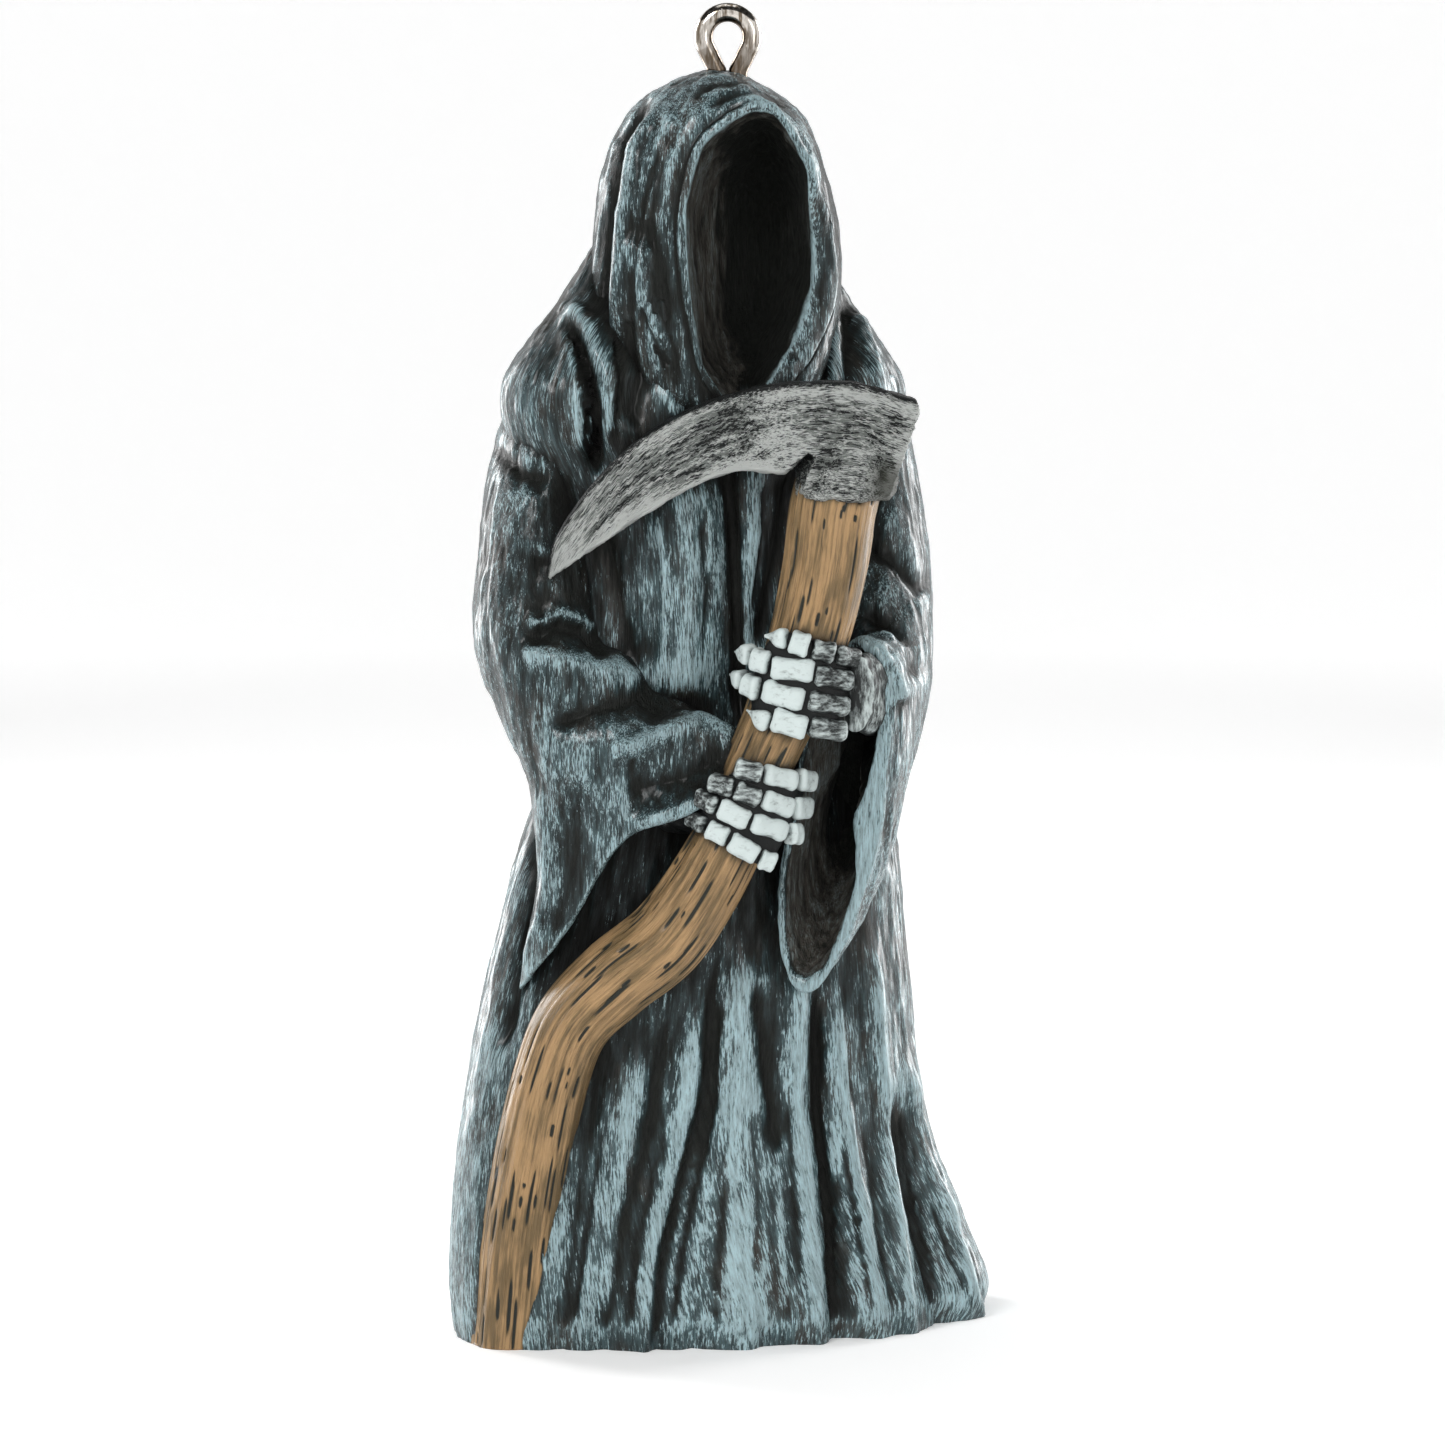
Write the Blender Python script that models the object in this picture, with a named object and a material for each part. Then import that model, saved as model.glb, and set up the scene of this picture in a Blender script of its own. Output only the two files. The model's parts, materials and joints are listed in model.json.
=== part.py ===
"""A hanging ornament: a hooded reaper cast in resin, with a scythe, and a wire loop in its crown.

The figure is one casting. It stands on its flat underside, with the origin there, +Z up and -Y out
of the front of the figure. The wire loop's two legs sit in a socket in the crown of the hood.

The forms are set out as seen from the figure's right front, with x to the right, y away and z up,
in hundredths of the figure's height. The whole is then turned so that the figure faces -Y.
"""

import math

import bmesh
import bpy
import numpy as np

# Driving sizes, in metres.
FIGURE_HEIGHT = 0.100
WIRE_DIAMETER = 0.0015
LOOP_WIDTH = 0.0053
LOOP_RISE = 0.0052
LEG_GAP = 0.00015
LEG_DEPTH = 0.0055
SOCKET_CLEARANCE = 0.0003

# The sculpt's unit: one hundredth of the figure's height.
U = FIGURE_HEIGHT / 100

# How far the body is turned from the side that the forms are set out on.
TURN = math.radians(15.0)
SHEAR_SHARE = 0.85
SHEAR = math.tan(TURN) * SHEAR_SHARE

# The robe: height, left, right, front and back reach, from under the hem to the neck.
ROBE = [
    (-1.5, -21.0, 21.0, 11.2, 11.2),
    (2.5, -21.6, 21.6, 11.4, 11.4),
    (8.0, -21.6, 19.4, 10.9, 11.1),
    (16.0, -20.9, 16.4, 10.2, 10.8),
    (26.0, -19.3, 15.2, 9.4, 10.4),
    (36.0, -16.9, 14.3, 8.8, 10.0),
    (46.0, -14.2, 13.2, 8.5, 9.8),
    (56.0, -13.4, 12.4, 8.7, 9.9),
    (66.0, -14.4, 12.6, 9.0, 10.3),
    (71.5, -17.0, 14.3, 9.0, 10.5),
    (75.5, -17.3, 14.4, 8.4, 10.0),
    (79.0, -15.2, 12.2, 7.0, 9.4),
    (81.5, -13.2, 10.4, 5.4, 9.0),
    (84.5, -11.3, 8.4, 3.6, 8.4),
    (88.0, -9.0, 6.5, 1.5, 7.4),
]
ROBE_SQUARENESS = 2.25

# Folds of the cloth, as they are seen from the front: half width, rise, and the (x, z) points
# of the line that each follows. A rise below zero is a groove.
ROBE_FOLDS = [
    (0.6, -1.2, (-5.6, -6.0), (-4.9, 6.2), (-2.9, 14.8), (-1.3, 20.1), (-0.5, 32.0)),
    (0.9, 0.8, (-6.4, -6.0), (-5.4, 7.7), (-3.1, 17.2), (-1.6, 28.0)),
    (1.4, -1.0, (-10.2, -6.0), (-7.9, 9.2), (-5.3, 18.7), (-4.1, 28.0)),
    (0.9, 0.5, (-9.4, 2.0), (-7.7, 13.6), (-6.3, 25.0)),
    (1.0, -0.9, (-13.2, -6.0), (-11.8, 7.7), (-10.8, 14.8), (-9.0, 26.0)),
    (2.3, 1.2, (1.7, -8.0), (1.7, 13.6), (1.7, 22.5), (1.1, 33.0)),
    (0.9, -1.2, (4.3, 14.6), (3.6, 20.1), (2.5, 29.0)),
    (1.3, 1.1, (8.0, -6.0), (6.8, 10.7), (5.7, 18.7), (5.6, 32.0)),
    (0.65, -1.2, (9.2, -6.0), (8.6, 9.2), (7.6, 17.8), (7.4, 30.0)),
    (1.3, -0.8, (10.5, -6.0), (9.8, 6.2), (9.0, 15.0)),
    (1.3, 0.9, (12.7, -6.0), (11.4, 7.7), (9.6, 18.1), (8.6, 30.0)),
    (0.8, 0.8, (15.4, -6.0), (14.0, 10.7), (12.5, 21.0), (11.4, 34.0)),
    (1.1, -1.4, (18.8, -4.0), (16.4, 6.7), (14.8, 12.7), (13.2, 20.0)),
    (0.8, 0.9, (21.8, -4.0), (18.8, 6.8), (16.4, 13.7), (14.6, 23.0)),
    (0.55, -0.8, (22.6, -4.0), (20.2, 5.2), (18.6, 9.0)),
    (0.7, -0.8, (-2.4, -3.0), (-2.2, 2.2)),
    (0.9, -0.8, (3.2, -3.0), (3.3, 2.2)),
    (0.7, -1.3, (-14.4, 46.0), (-15.1, 36.3), (-16.4, 28.6), (-17.9, 22.0)),
    (2.4, 1.5, (-3.4, 70.0), (-2.7, 61.3), (-3.2, 50.0)),
    (0.55, -1.1, (0.1, 72.0), (0.8, 62.6), (1.4, 48.0)),
    (1.0, 0.8, (2.7, 71.0), (2.5, 62.6), (1.5, 52.0)),
    (0.9, -1.0, (5.4, 70.0), (4.5, 63.8), (2.4, 54.0)),
    (1.4, -0.9, (-9.3, 65.0), (-8.3, 58.8), (-6.4, 53.0)),
    (1.1, 1.2, (-11.9, 82.5), (-10.3, 78.7), (-9.0, 76.3), (-8.7, 71.0)),
    (0.65, -1.5, (-12.1, 81.0), (-10.5, 76.8), (-9.9, 73.8), (-9.9, 68.0)),
    (0.6, 0.6, (-12.4, 80.5), (-11.4, 76.3), (-10.7, 70.0)),
    (0.8, -0.9, (-6.9, 81.0), (-6.3, 76.5), (-7.4, 72.0)),
    (0.6, 0.8, (-5.6, 78.5), (-4.1, 75.3), (-3.1, 73.0)),
    (0.9, -0.9, (-4.7, 78.6), (-2.6, 75.8), (0.4, 74.6)),
    (0.5, -0.8, (9.3, 82.3), (7.6, 79.2), (5.4, 75.3)),
    (0.5, -0.8, (9.8, 82.5), (10.1, 78.7), (10.0, 74.0)),
    (0.9, 0.6, (10.4, 81.5), (11.8, 77.9), (12.3, 73.5)),
]
HOOD_FOLDS = [
    (0.6, -1.1, (-5.0, 98.5), (-7.8, 94.6), (-8.8, 88.7), (-9.5, 80.0)),
    (0.5, 0.5, (-4.6, 98.0), (-7.1, 94.1), (-8.0, 88.7), (-8.6, 81.0)),
    (0.8, -0.4, (-3.9, 96.0), (-5.1, 90.8), (-6.2, 86.0)),
    (1.1, -0.8, (-5.9, 89.0), (-4.7, 82.9), (-3.1, 75.0)),
    (0.9, 0.4, (-7.1, 88.0), (-6.2, 82.5), (-3.9, 78.0)),
    (0.8, -0.5, (-1.6, 96.6), (0.7, 98.2), (2.5, 98.5), (5.8, 96.8)),
]
RIGHT_FOLDS = [
    (1.1, -1.1, (-14.0, 49.2), (-9.8, 50.8), (-6.2, 51.8), (-3.4, 49.6)),
    (0.9, 1.0, (-9.0, 47.2), (-5.2, 48.7), (-1.8, 49.6), (2.2, 47.9)),
    (1.4, -0.8, (-8.0, 44.3), (-3.4, 45.5), (1.0, 47.5)),
    (0.8, 0.6, (-7.5, 41.6), (-3.4, 43.2), (0.0, 44.6), (3.0, 47.0)),
    (0.8, -1.0, (-15.6, 55.6), (-12.7, 57.1), (-10.7, 56.6), (-8.4, 54.2)),
    (0.6, 0.6, (-15.6, 57.0), (-12.5, 58.1), (-9.2, 56.3)),
    (1.0, 0.7, (-16.2, 55.5), (-11.7, 54.3), (-8.3, 53.6), (-5.0, 52.4)),
    (0.7, -0.8, (-18.4, 70.8), (-16.0, 68.6), (-13.4, 68.2)),
    (1.2, -0.6, (-13.8, 63.0), (-14.7, 60.0), (-13.4, 57.0)),
    (1.0, 0.5, (-14.3, 45.0), (-13.7, 36.9), (-15.9, 28.5)),
    (1.2, -0.5, (-10.9, 46.0), (-11.6, 39.5), (-13.3, 32.5)),
]
LEFT_FOLDS = [
    (0.8, -0.9, (10.9, 63.0), (13.6, 61.6), (16.6, 58.6)),
    (0.7, -1.0, (10.4, 57.5), (13.2, 56.9), (14.8, 55.4), (16.0, 52.0)),
    (1.0, 0.7, (10.8, 55.0), (12.8, 54.2), (14.1, 50.7)),
    (1.0, -0.7, (12.9, 69.0), (12.0, 64.8), (12.0, 62.0)),
    (0.8, -0.5, (15.4, 55.0), (15.2, 47.0), (13.8, 38.5)),
]
FOLD_FADE = 0.18

# How fast the folds fade out as the surface turns from the front, and how far round they reach.
FACING_GAIN = 1.6
FACING_REACH = 0.25

# The pleats round the back of the skirt, how far up it they reach and how they sway with height.
BACK_PLEATS = 9
BACK_PLEAT_RISE = 0.9
BACK_PLEAT_TOP = 62.0
BACK_PLEAT_SWAY = 1.4
BACK_PLEAT_SWAY_RATE = 0.05
BACK_PLEAT_PHASE = 0.5
BACK_PLEAT_ONSET = 3.0

# The hood's two rims, each as points (x, depth, z) every 30 degrees from the viewer's right:
# its widest girth, and the edge of its mouth, with the width of the rim round the mouth. A pole
# closes it behind and another inside.
HOOD_GIRTH = [
    (9.3, 0.6, 86.0), (8.3, 0.2, 91.4), (5.6, -0.6, 97.2), (-0.5, -1.4, 100.0),
    (-6.8, -1.6, 97.3), (-9.5, -1.7, 92.0), (-10.3, -2.0, 86.0), (-11.0, -1.4, 80.0),
    (-8.5, 0.0, 73.5), (-0.5, 0.6, 70.0), (7.0, 0.8, 73.5), (9.0, 0.6, 80.5),
]
HOOD_MOUTH = [
    (6.9, -6.7, 86.5), (6.6, -7.6, 89.4), (6.2, -8.4, 92.8), (3.3, -9.0, 96.6),
    (-1.1, -9.4, 94.4), (-2.6, -9.7, 90.2), (-2.7, -9.9, 86.5), (-2.3, -10.1, 82.7),
    (-1.5, -10.2, 78.3), (2.6, -10.0, 74.9), (5.5, -8.3, 78.8), (6.7, -6.8, 82.7),
]
HOOD_BACK = (-0.8, 10.0, 85.0)
HOOD_DEEPEST = (4.3, 0.6, 86.0)
HOOD_RIM = [2.0, 1.5, 1.0, 0.9, 0.9, 0.9, 0.9, 0.9, 0.9, 1.2, 2.3, 2.6]
HOOD_RIM_LEAD = 0.4

# How round the hood is from its back to its girth and from its girth to its mouth, how far its
# poles are left open before they are closed, and how far its hollow is cut out beyond the mouth.
HOOD_BACK_ROUNDNESS = 0.8
HOOD_FRONT_ROUNDNESS = 0.9
HOOD_FRONT_SWEEP = 1.1
HOOD_POLE = 0.12
HOOD_VOID_REACH = 3.0

# A sleeve is a run of ovals: its middle, its long half axis and its short half axis.
# The last oval is the open hem.
RIGHT_SLEEVE = [
    ((-11.0, -1.0, 76.5), (4.8, 0.0, -0.5), (0.0, -5.6, 0.0)),
    ((-13.9, -2.6, 69.0), (4.5, 0.0, 0.0), (0.0, -6.4, 0.0)),
    ((-14.4, -4.2, 62.0), (4.9, 0.0, 0.4), (0.0, -6.6, 0.0)),
    ((-14.4, -5.4, 56.0), (5.1, 0.0, 1.0), (0.0, -6.6, 0.4)),
    ((-12.1, -7.2, 51.6), (5.2, 0.0, 2.5), (0.0, -6.3, 0.4)),
    ((-9.4, -8.9, 47.7), (5.8, 0.0, 3.4), (0.0, -5.6, 0.0)),
    ((-7.2, -10.1, 43.0), (7.2, -0.8, 6.0), (-0.4, -4.4, 0.4)),
    ((-6.7, -10.9, 37.5), (9.2, -1.8, 9.1), (-0.4, -3.9, 0.4)),
]
RIGHT_HEM_CUT = (92.0, 30.0, 0.6)
LEFT_SLEEVE = [
    ((9.3, 2.4, 76.0), (4.6, 0.0, 0.0), (0.0, -5.6, 0.0)),
    ((11.1, 2.6, 69.0), (4.3, 0.0, 0.0), (0.0, -6.2, 0.0)),
    ((12.0, 1.9, 62.5), (4.4, 0.0, 0.0), (0.0, -6.6, 0.0)),
    ((12.4, 0.2, 56.5), (4.3, 0.0, 0.0), (0.0, -6.4, 1.8)),
    ((12.3, -2.9, 51.0), (4.1, 0.2, 0.0), (0.5, -4.8, 5.4)),
    ((11.1, -6.6, 46.6), (4.1, -0.4, 0.0), (1.3, -2.8, 9.8)),
    ((9.9, -9.3, 43.6), (4.2, -1.0, 0.0), (1.9, -1.1, 12.4)),
    ((8.7, -11.2, 42.2), (3.7, -1.5, 0.3), (2.2, 0.0, 13.9)),
]
LEFT_HEM_CUT = (180.0, 40.0, 0.1)
SLEEVE_WALL = 0.9
SLEEVE_THICKENING = 0.8
SLEEVE_HOLLOW = 2.2

# The scythe's handle: middle x, depth, height and half thickness.
SNATH = [
    (9.7, -12.2, 70.5, 3.2),
    (8.6, -12.4, 66.6, 3.3),
    (7.9, -12.6, 61.5, 3.2),
    (6.8, -12.7, 56.5, 3.1),
    (5.0, -12.8, 51.3, 2.9),
    (2.9, -12.9, 46.6, 2.7),
    (0.0, -12.9, 39.6, 2.9),
    (-4.0, -12.7, 33.2, 3.2),
    (-8.3, -12.3, 29.5, 3.2),
    (-11.6, -11.7, 26.0, 3.0),
    (-13.3, -11.2, 21.8, 2.95),
    (-14.6, -10.6, 16.0, 3.05),
    (-15.8, -9.7, 8.5, 3.1),
    (-16.7, -8.6, -1.5, 3.2),
]

# The blade, seen from the front: the back of the blade from tip to heel, the heel down to the
# ferrule's rim, the notch and barb, and the cutting edge back to the tip.
BLADE_BACK = [(-13.5, 61.0), (-12.3, 65.0), (-6.3, 71.6), (1.6, 75.3), (9.4, 76.0), (14.9, 74.6)]
BLADE_HEEL = [(15.1, 73.6), (14.6, 72.2), (12.9, 67.3), (6.0, 67.7), (7.1, 70.4), (6.5, 70.6)]
BLADE_EDGE = [(4.8, 69.0), (0.9, 69.1), (-3.4, 67.3), (-8.0, 64.5), (-13.3, 60.9)]
BLADE_FRONT = -13.4
BLADE_BACKING = 3.4
BLADE_LEAN = 0.07
BLADE_SWELL = 2.5
BLADE_SWELL_FROM, BLADE_SWELL_OVER = -2.0, 9.0
BLADE_BEVEL = 0.45

# The ferrule round the top of the handle: middle x, depth, height, half width and half depth.
FERRULE = [
    (9.35, -12.3, 66.9, 3.5, 3.5),
    (9.4, -12.3, 67.3, 3.95, 3.9),
    (9.7, -12.2, 69.6, 3.95, 3.9),
    (10.3, -11.9, 72.6, 3.7, 3.4),
    (10.8, -11.5, 75.0, 3.0, 2.4),
]

# Fingers of the upper hand (the left) and the lower hand (the right). Each bone runs from one
# (x, z) to the next, and its depth follows the grip round the handle.
UPPER_GRIP = (5.7, -11.5, 4.95)
UPPER_FINGERS = [
    [(3.2, 56.7), (5.05, 56.4), (6.75, 55.8), (8.6, 55.2), (10.3, 54.6)],
    [(0.9, 55.3), (2.3, 54.9), (3.7, 54.5), (7.05, 53.7), (9.9, 52.9)],
    [(0.5, 53.4), (1.7, 52.9), (2.95, 52.4), (6.45, 51.8), (9.7, 51.0)],
    [(1.8, 50.6), (3.75, 50.1), (6.6, 49.7), (9.5, 49.2)],
]
LOWER_GRIP = (1.6, -11.5, 4.95)
LOWER_FINGERS = [
    [(0.9, 46.65), (3.05, 45.9), (5.7, 45.3), (6.9, 45.0)],
    [(-1.0, 45.5), (0.9, 44.85), (2.95, 44.0), (5.4, 43.25), (6.6, 42.8)],
    [(-2.0, 44.2), (-0.3, 43.5), (2.1, 42.3), (5.0, 41.4), (6.0, 40.9)],
    [(-2.6, 42.6), (-1.2, 41.8), (0.5, 41.0), (2.8, 39.5), (4.0, 39.0)],
]
BONE_RADIUS = 0.98
BONE_PROFILE = [(0.0, 0.55), (0.24, 1.0), (0.5, 0.86), (0.76, 1.0)]
CLAW_PROFILE = [(0.0, 0.2), (0.4, 0.7), (0.8, 1.0)]

# The backs of the hands, inside the mouths of the sleeves: middle x, depth, height, half width
# and half height.
UPPER_PALM = [
    (11.6, -9.5, 51.6, 1.7, 3.3),
    (11.2, -12.4, 51.8, 1.7, 3.2),
    (10.3, -14.2, 52.0, 1.3, 2.9),
]
LOWER_PALM = [
    (-3.6, -9.0, 42.6, 2.6, 2.2),
    (-1.6, -12.0, 43.4, 2.5, 2.3),
    (-0.7, -13.8, 43.8, 1.7, 1.8),
]

# Where the wire loop stands in the crown, how far its round closes below its middle, and how far
# below the crown its legs straighten.
LOOP_PLACE = (0.4, -1.6)
LOOP_CLOSING = math.radians(28.0)
LOOP_THROAT = 0.0001

# Edges that turn by more than this stay crisp in the shading.
SHARP_ANGLE = math.radians(50.0)

# How finely each form is cut, and how far it is thinned before the forms are joined.
# The robe's points crowd towards its sides by ROBE_CROWDING radians.
ROBE_AROUND, ROBE_UP, ROBE_KEPT = 420, 110, 0.029
ROBE_CROWDING = 0.3
HOOD_AROUND, HOOD_ALONG, VOID_AROUND = 32, 8, 27
SLEEVE_AROUND, SLEEVE_ALONG = 22, 17
SNATH_AROUND, SNATH_ALONG = 12, 20
BONE_SIDES = 5
PALM_SIDES, FERRULE_SIDES, SOCKET_SIDES = 10, 20, 24
LOOP_STEPS = 25


def through(stations, at):
    """The smooth curve through the stations, read at positions counted in stations."""
    rows = np.array(stations, float).reshape(len(stations), -1)
    slopes = np.gradient(rows, axis=0)
    at = np.asarray(at, float)
    low = np.clip(at.astype(int), 0, len(rows) - 2)
    share = (at - low)[:, None]
    cubed, squared = share**3, share**2
    return (
        (2 * cubed - 3 * squared + 1) * rows[low]
        + (cubed - 2 * squared + share) * slopes[low]
        + (3 * squared - 2 * cubed) * rows[low + 1]
        + (cubed - squared) * slopes[low + 1]
    )


def skin(name, rings):
    """A closed mesh object through rings of points given in sculpt units."""
    rings = np.asarray(rings, float) * U
    count, around = rings.shape[:2]
    points = [tuple(p) for p in rings.reshape(-1, 3)]
    points += [tuple(rings[0].mean(axis=0)), tuple(rings[-1].mean(axis=0))]
    faces = []
    for row in range(count - 1):
        for column in range(around):
            after = (column + 1) % around
            here = row * around
            faces.append((here + column, here + after, here + around + after, here + around + column))
    for row, middle in ((0, count * around), (count - 1, count * around + 1)):
        for column in range(around):
            faces.append((row * around + column, row * around + (column + 1) % around, middle))
    mesh = bpy.data.meshes.new(name)
    mesh.from_pydata(points, [], faces)
    return finish_mesh(name, mesh)


def finish_mesh(name, mesh):
    """The object of this mesh, in triangles, with its faces pointing out."""
    shape = bmesh.new()
    shape.from_mesh(mesh)
    bmesh.ops.triangulate(shape, faces=shape.faces)
    bmesh.ops.recalc_face_normals(shape, faces=shape.faces)
    shape.to_mesh(mesh)
    shape.free()
    mesh.shade_smooth()
    mesh.set_sharp_from_angle(angle=SHARP_ANGLE)
    item = bpy.data.objects.new(name, mesh)
    bpy.context.collection.objects.link(item)
    return item


def oval(angles, squareness=2.0):
    """Cosine and sine of the angles, drawn out towards a square as squareness grows."""
    power = 2.0 / squareness
    cosines, sines = np.cos(angles), np.sin(angles)
    return (
        np.sign(cosines) * np.abs(cosines) ** power,
        np.sign(sines) * np.abs(sines) ** power,
    )


def relief(points, folds):
    """How far the folds raise or sink each point, by its distance from each fold's line."""
    x, z = points[..., 0], points[..., 2]
    total = np.zeros_like(x)
    for half_width, rise, *path in folds:
        path = np.array(path)
        lengths = np.hypot(*np.diff(path, axis=0).T)
        nearest, place, before = np.full_like(x, np.inf), np.zeros_like(x), 0.0
        for (x0, z0), (x1, z1), length in zip(path, path[1:], lengths):
            share = ((x - x0) * (x1 - x0) + (z - z0) * (z1 - z0)) / length**2
            share = np.clip(share, 0, 1)
            gap = np.hypot(x - x0 - share * (x1 - x0), z - z0 - share * (z1 - z0))
            closer = gap < nearest
            nearest = np.where(closer, gap, nearest)
            place = np.where(closer, before + share * length, place)
            before += length
        ends = np.minimum(place, before - place) / (before * FOLD_FADE)
        ends = np.clip(ends, 0, 1)
        total += rise * np.exp(-((nearest / half_width) ** 2)) * ends * ends * (3 - 2 * ends)
    return total


def outward(rings):
    """The direction out of the surface at each point of a run of rings."""
    around = np.roll(rings, -1, axis=1) - np.roll(rings, 1, axis=1)
    along = np.gradient(rings, axis=0)
    normals = np.cross(along, around)
    normals /= np.linalg.norm(normals, axis=2, keepdims=True) + 1e-9
    middles = rings.mean(axis=1, keepdims=True)
    inward = ((rings - middles) * normals).sum(axis=2, keepdims=True) < 0
    return np.where(inward, -normals, normals)


def folded(rings, folds):
    """The rings with their folds, which fade out where the surface turns from the front."""
    normals = outward(rings)
    facing = np.clip(-normals[..., 1] * FACING_GAIN + FACING_REACH, 0, 1)
    return rings + normals * (relief(rings, folds) * facing)[..., None]


def robe():
    """The robe from hem to neck, closed, reaching a little below the ground line."""
    at = np.linspace(0, len(ROBE) - 1, ROBE_UP)
    angles = np.linspace(0, 2 * np.pi, ROBE_AROUND, endpoint=False)
    angles = angles + ROBE_CROWDING * np.cos(angles)
    across, along = oval(angles, ROBE_SQUARENESS)
    behind = np.clip(np.sin(angles) * BACK_PLEAT_ONSET, 0, 1)
    rings = []
    for height, left, right, front, back in through(ROBE, at):
        drop = max(1 - height / BACK_PLEAT_TOP, 0)
        sway = BACK_PLEAT_SWAY * math.sin(height * BACK_PLEAT_SWAY_RATE) + BACK_PLEAT_PHASE
        pleats = BACK_PLEAT_RISE * drop * np.sin(angles * BACK_PLEATS * 2 + sway) * behind
        x = (left + right) / 2 + (right - left) / 2 * across
        y = (np.where(along < 0, front, back) + pleats) * along + SHEAR * x
        rings.append(np.stack([x, y, np.full_like(x, height)], axis=1))
    item = skin("robe", folded(np.array(rings), ROBE_FOLDS))
    thin = item.modifiers.new("thin", "DECIMATE")
    thin.ratio = ROBE_KEPT
    return item


def closed_curve(points, count):
    """A smooth closed curve through the points, as this many points."""
    looped = [points[-1]] + list(points) + [points[0], points[1]]
    return through(looped, np.linspace(1, len(points) + 1, count, endpoint=False))


def hood():
    """The hood: from its back over its girth to a rolled rim round its mouth, filled in."""
    girth = closed_curve(HOOD_GIRTH, HOOD_AROUND)
    mouth = closed_curve(HOOD_MOUTH, HOOD_AROUND)
    middle = mouth.mean(axis=0)
    out = mouth - middle
    out /= np.linalg.norm(out, axis=1, keepdims=True)
    rim = closed_curve(HOOD_RIM, HOOD_AROUND)
    brim = mouth + out * rim
    rings = []
    for turn in np.linspace(HOOD_POLE, math.pi / 2, HOOD_ALONG, endpoint=False):
        back = np.array(HOOD_BACK)
        ring = back + (girth - back) * math.sin(turn) ** HOOD_BACK_ROUNDNESS
        ring[:, 1] = back[1] + (girth[:, 1] - back[1]) * (1 - math.cos(turn))
        rings.append(ring)
    for turn in np.linspace(0, math.pi / 2, HOOD_ALONG):
        sweep = math.sin(turn) ** HOOD_FRONT_SWEEP
        ring = brim + (girth - brim) * math.cos(turn) ** HOOD_FRONT_ROUNDNESS
        ring[:, 1] = girth[:, 1] + (brim[:, 1] - girth[:, 1]) * sweep
        rings.append(ring)
    rings.append(mouth + out * rim * 0.5 + (0, -HOOD_RIM_LEAD, 0))
    rings.append(mouth - out * rim * 0.5)
    return skin("hood", folded(np.array(rings), HOOD_FOLDS))


def hood_void():
    """The dark hollow of the hood, as a bowl that opens out of its mouth."""
    mouth = closed_curve(HOOD_MOUTH, VOID_AROUND)
    middle = mouth.mean(axis=0)
    deepest = np.array(HOOD_DEEPEST)
    rings = [mouth + (mouth - middle) * HOOD_POLE - (0, HOOD_VOID_REACH, 0)]
    for turn in np.linspace(0, math.pi / 2 - HOOD_POLE, HOOD_ALONG):
        ring = deepest + (mouth - deepest) * math.cos(turn)
        ring[:, 1] = mouth[:, 1] + (deepest[1] - mouth[:, 1]) * math.sin(turn)
        rings.append(ring)
    return skin("hood_void", rings)


def sleeve_rings(stations, hem_cut, samples):
    """Ovals of a sleeve and their middles, with the hem cut back at one place."""
    last = len(stations) - 1
    angles = np.linspace(0, 2 * np.pi, SLEEVE_AROUND, endpoint=False)
    turn, spread, depth = hem_cut
    apart = np.degrees(np.angle(np.exp(1j * (angles - math.radians(turn)))))
    notch = depth * np.exp(-((apart / spread) ** 2))
    near_hem = np.clip(samples - (last - 1), 0, 1)[:, None]
    places = samples[:, None] - notch * near_hem
    rows = through(stations, places.ravel()).reshape(len(samples), SLEEVE_AROUND, 9)
    middle, long_axis, short_axis = rows[..., :3], rows[..., 3:6], rows[..., 6:]
    wide = np.cos(angles)[:, None] * long_axis
    tall = np.sin(angles)[:, None] * short_axis
    return middle + wide + tall, middle


def sleeve(name, stations, hem_cut, folds):
    """A hanging sleeve, hollow from its hem to its elbow."""
    last = len(stations) - 1
    outer, _ = sleeve_rings(stations, hem_cut, np.linspace(0, last, SLEEVE_ALONG))
    samples = np.linspace(last, last - SLEEVE_HOLLOW, SLEEVE_ALONG // 3)
    inner, middles = sleeve_rings(stations, hem_cut, samples)
    inner = folded(inner, folds)
    wall = SLEEVE_WALL + (last - samples) * SLEEVE_THICKENING
    inward = middles - inner
    inner += inward * wall[:, None, None] / np.linalg.norm(inward, axis=2, keepdims=True)
    return skin(name, np.concatenate([folded(outer, folds), inner]))


def snath():
    """The scythe's handle, a bent pole of slightly changing thickness."""
    at = np.linspace(0, len(SNATH) - 1, SNATH_ALONG)
    rows = through(SNATH, at)
    paths = np.gradient(rows[:, :3], axis=0)
    angles = np.linspace(0, 2 * np.pi, SNATH_AROUND, endpoint=False)
    rings = []
    for (x, y, z, radius), path in zip(rows, paths):
        forward = path / np.linalg.norm(path)
        side = np.cross(forward, (0.0, 1.0, 0.0))
        side /= np.linalg.norm(side)
        out = np.cross(side, forward)
        ring = np.outer(np.cos(angles), side) + np.outer(np.sin(angles), out)
        rings.append((x, y, z) + radius * ring)
    return skin("snath", rings)


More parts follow.
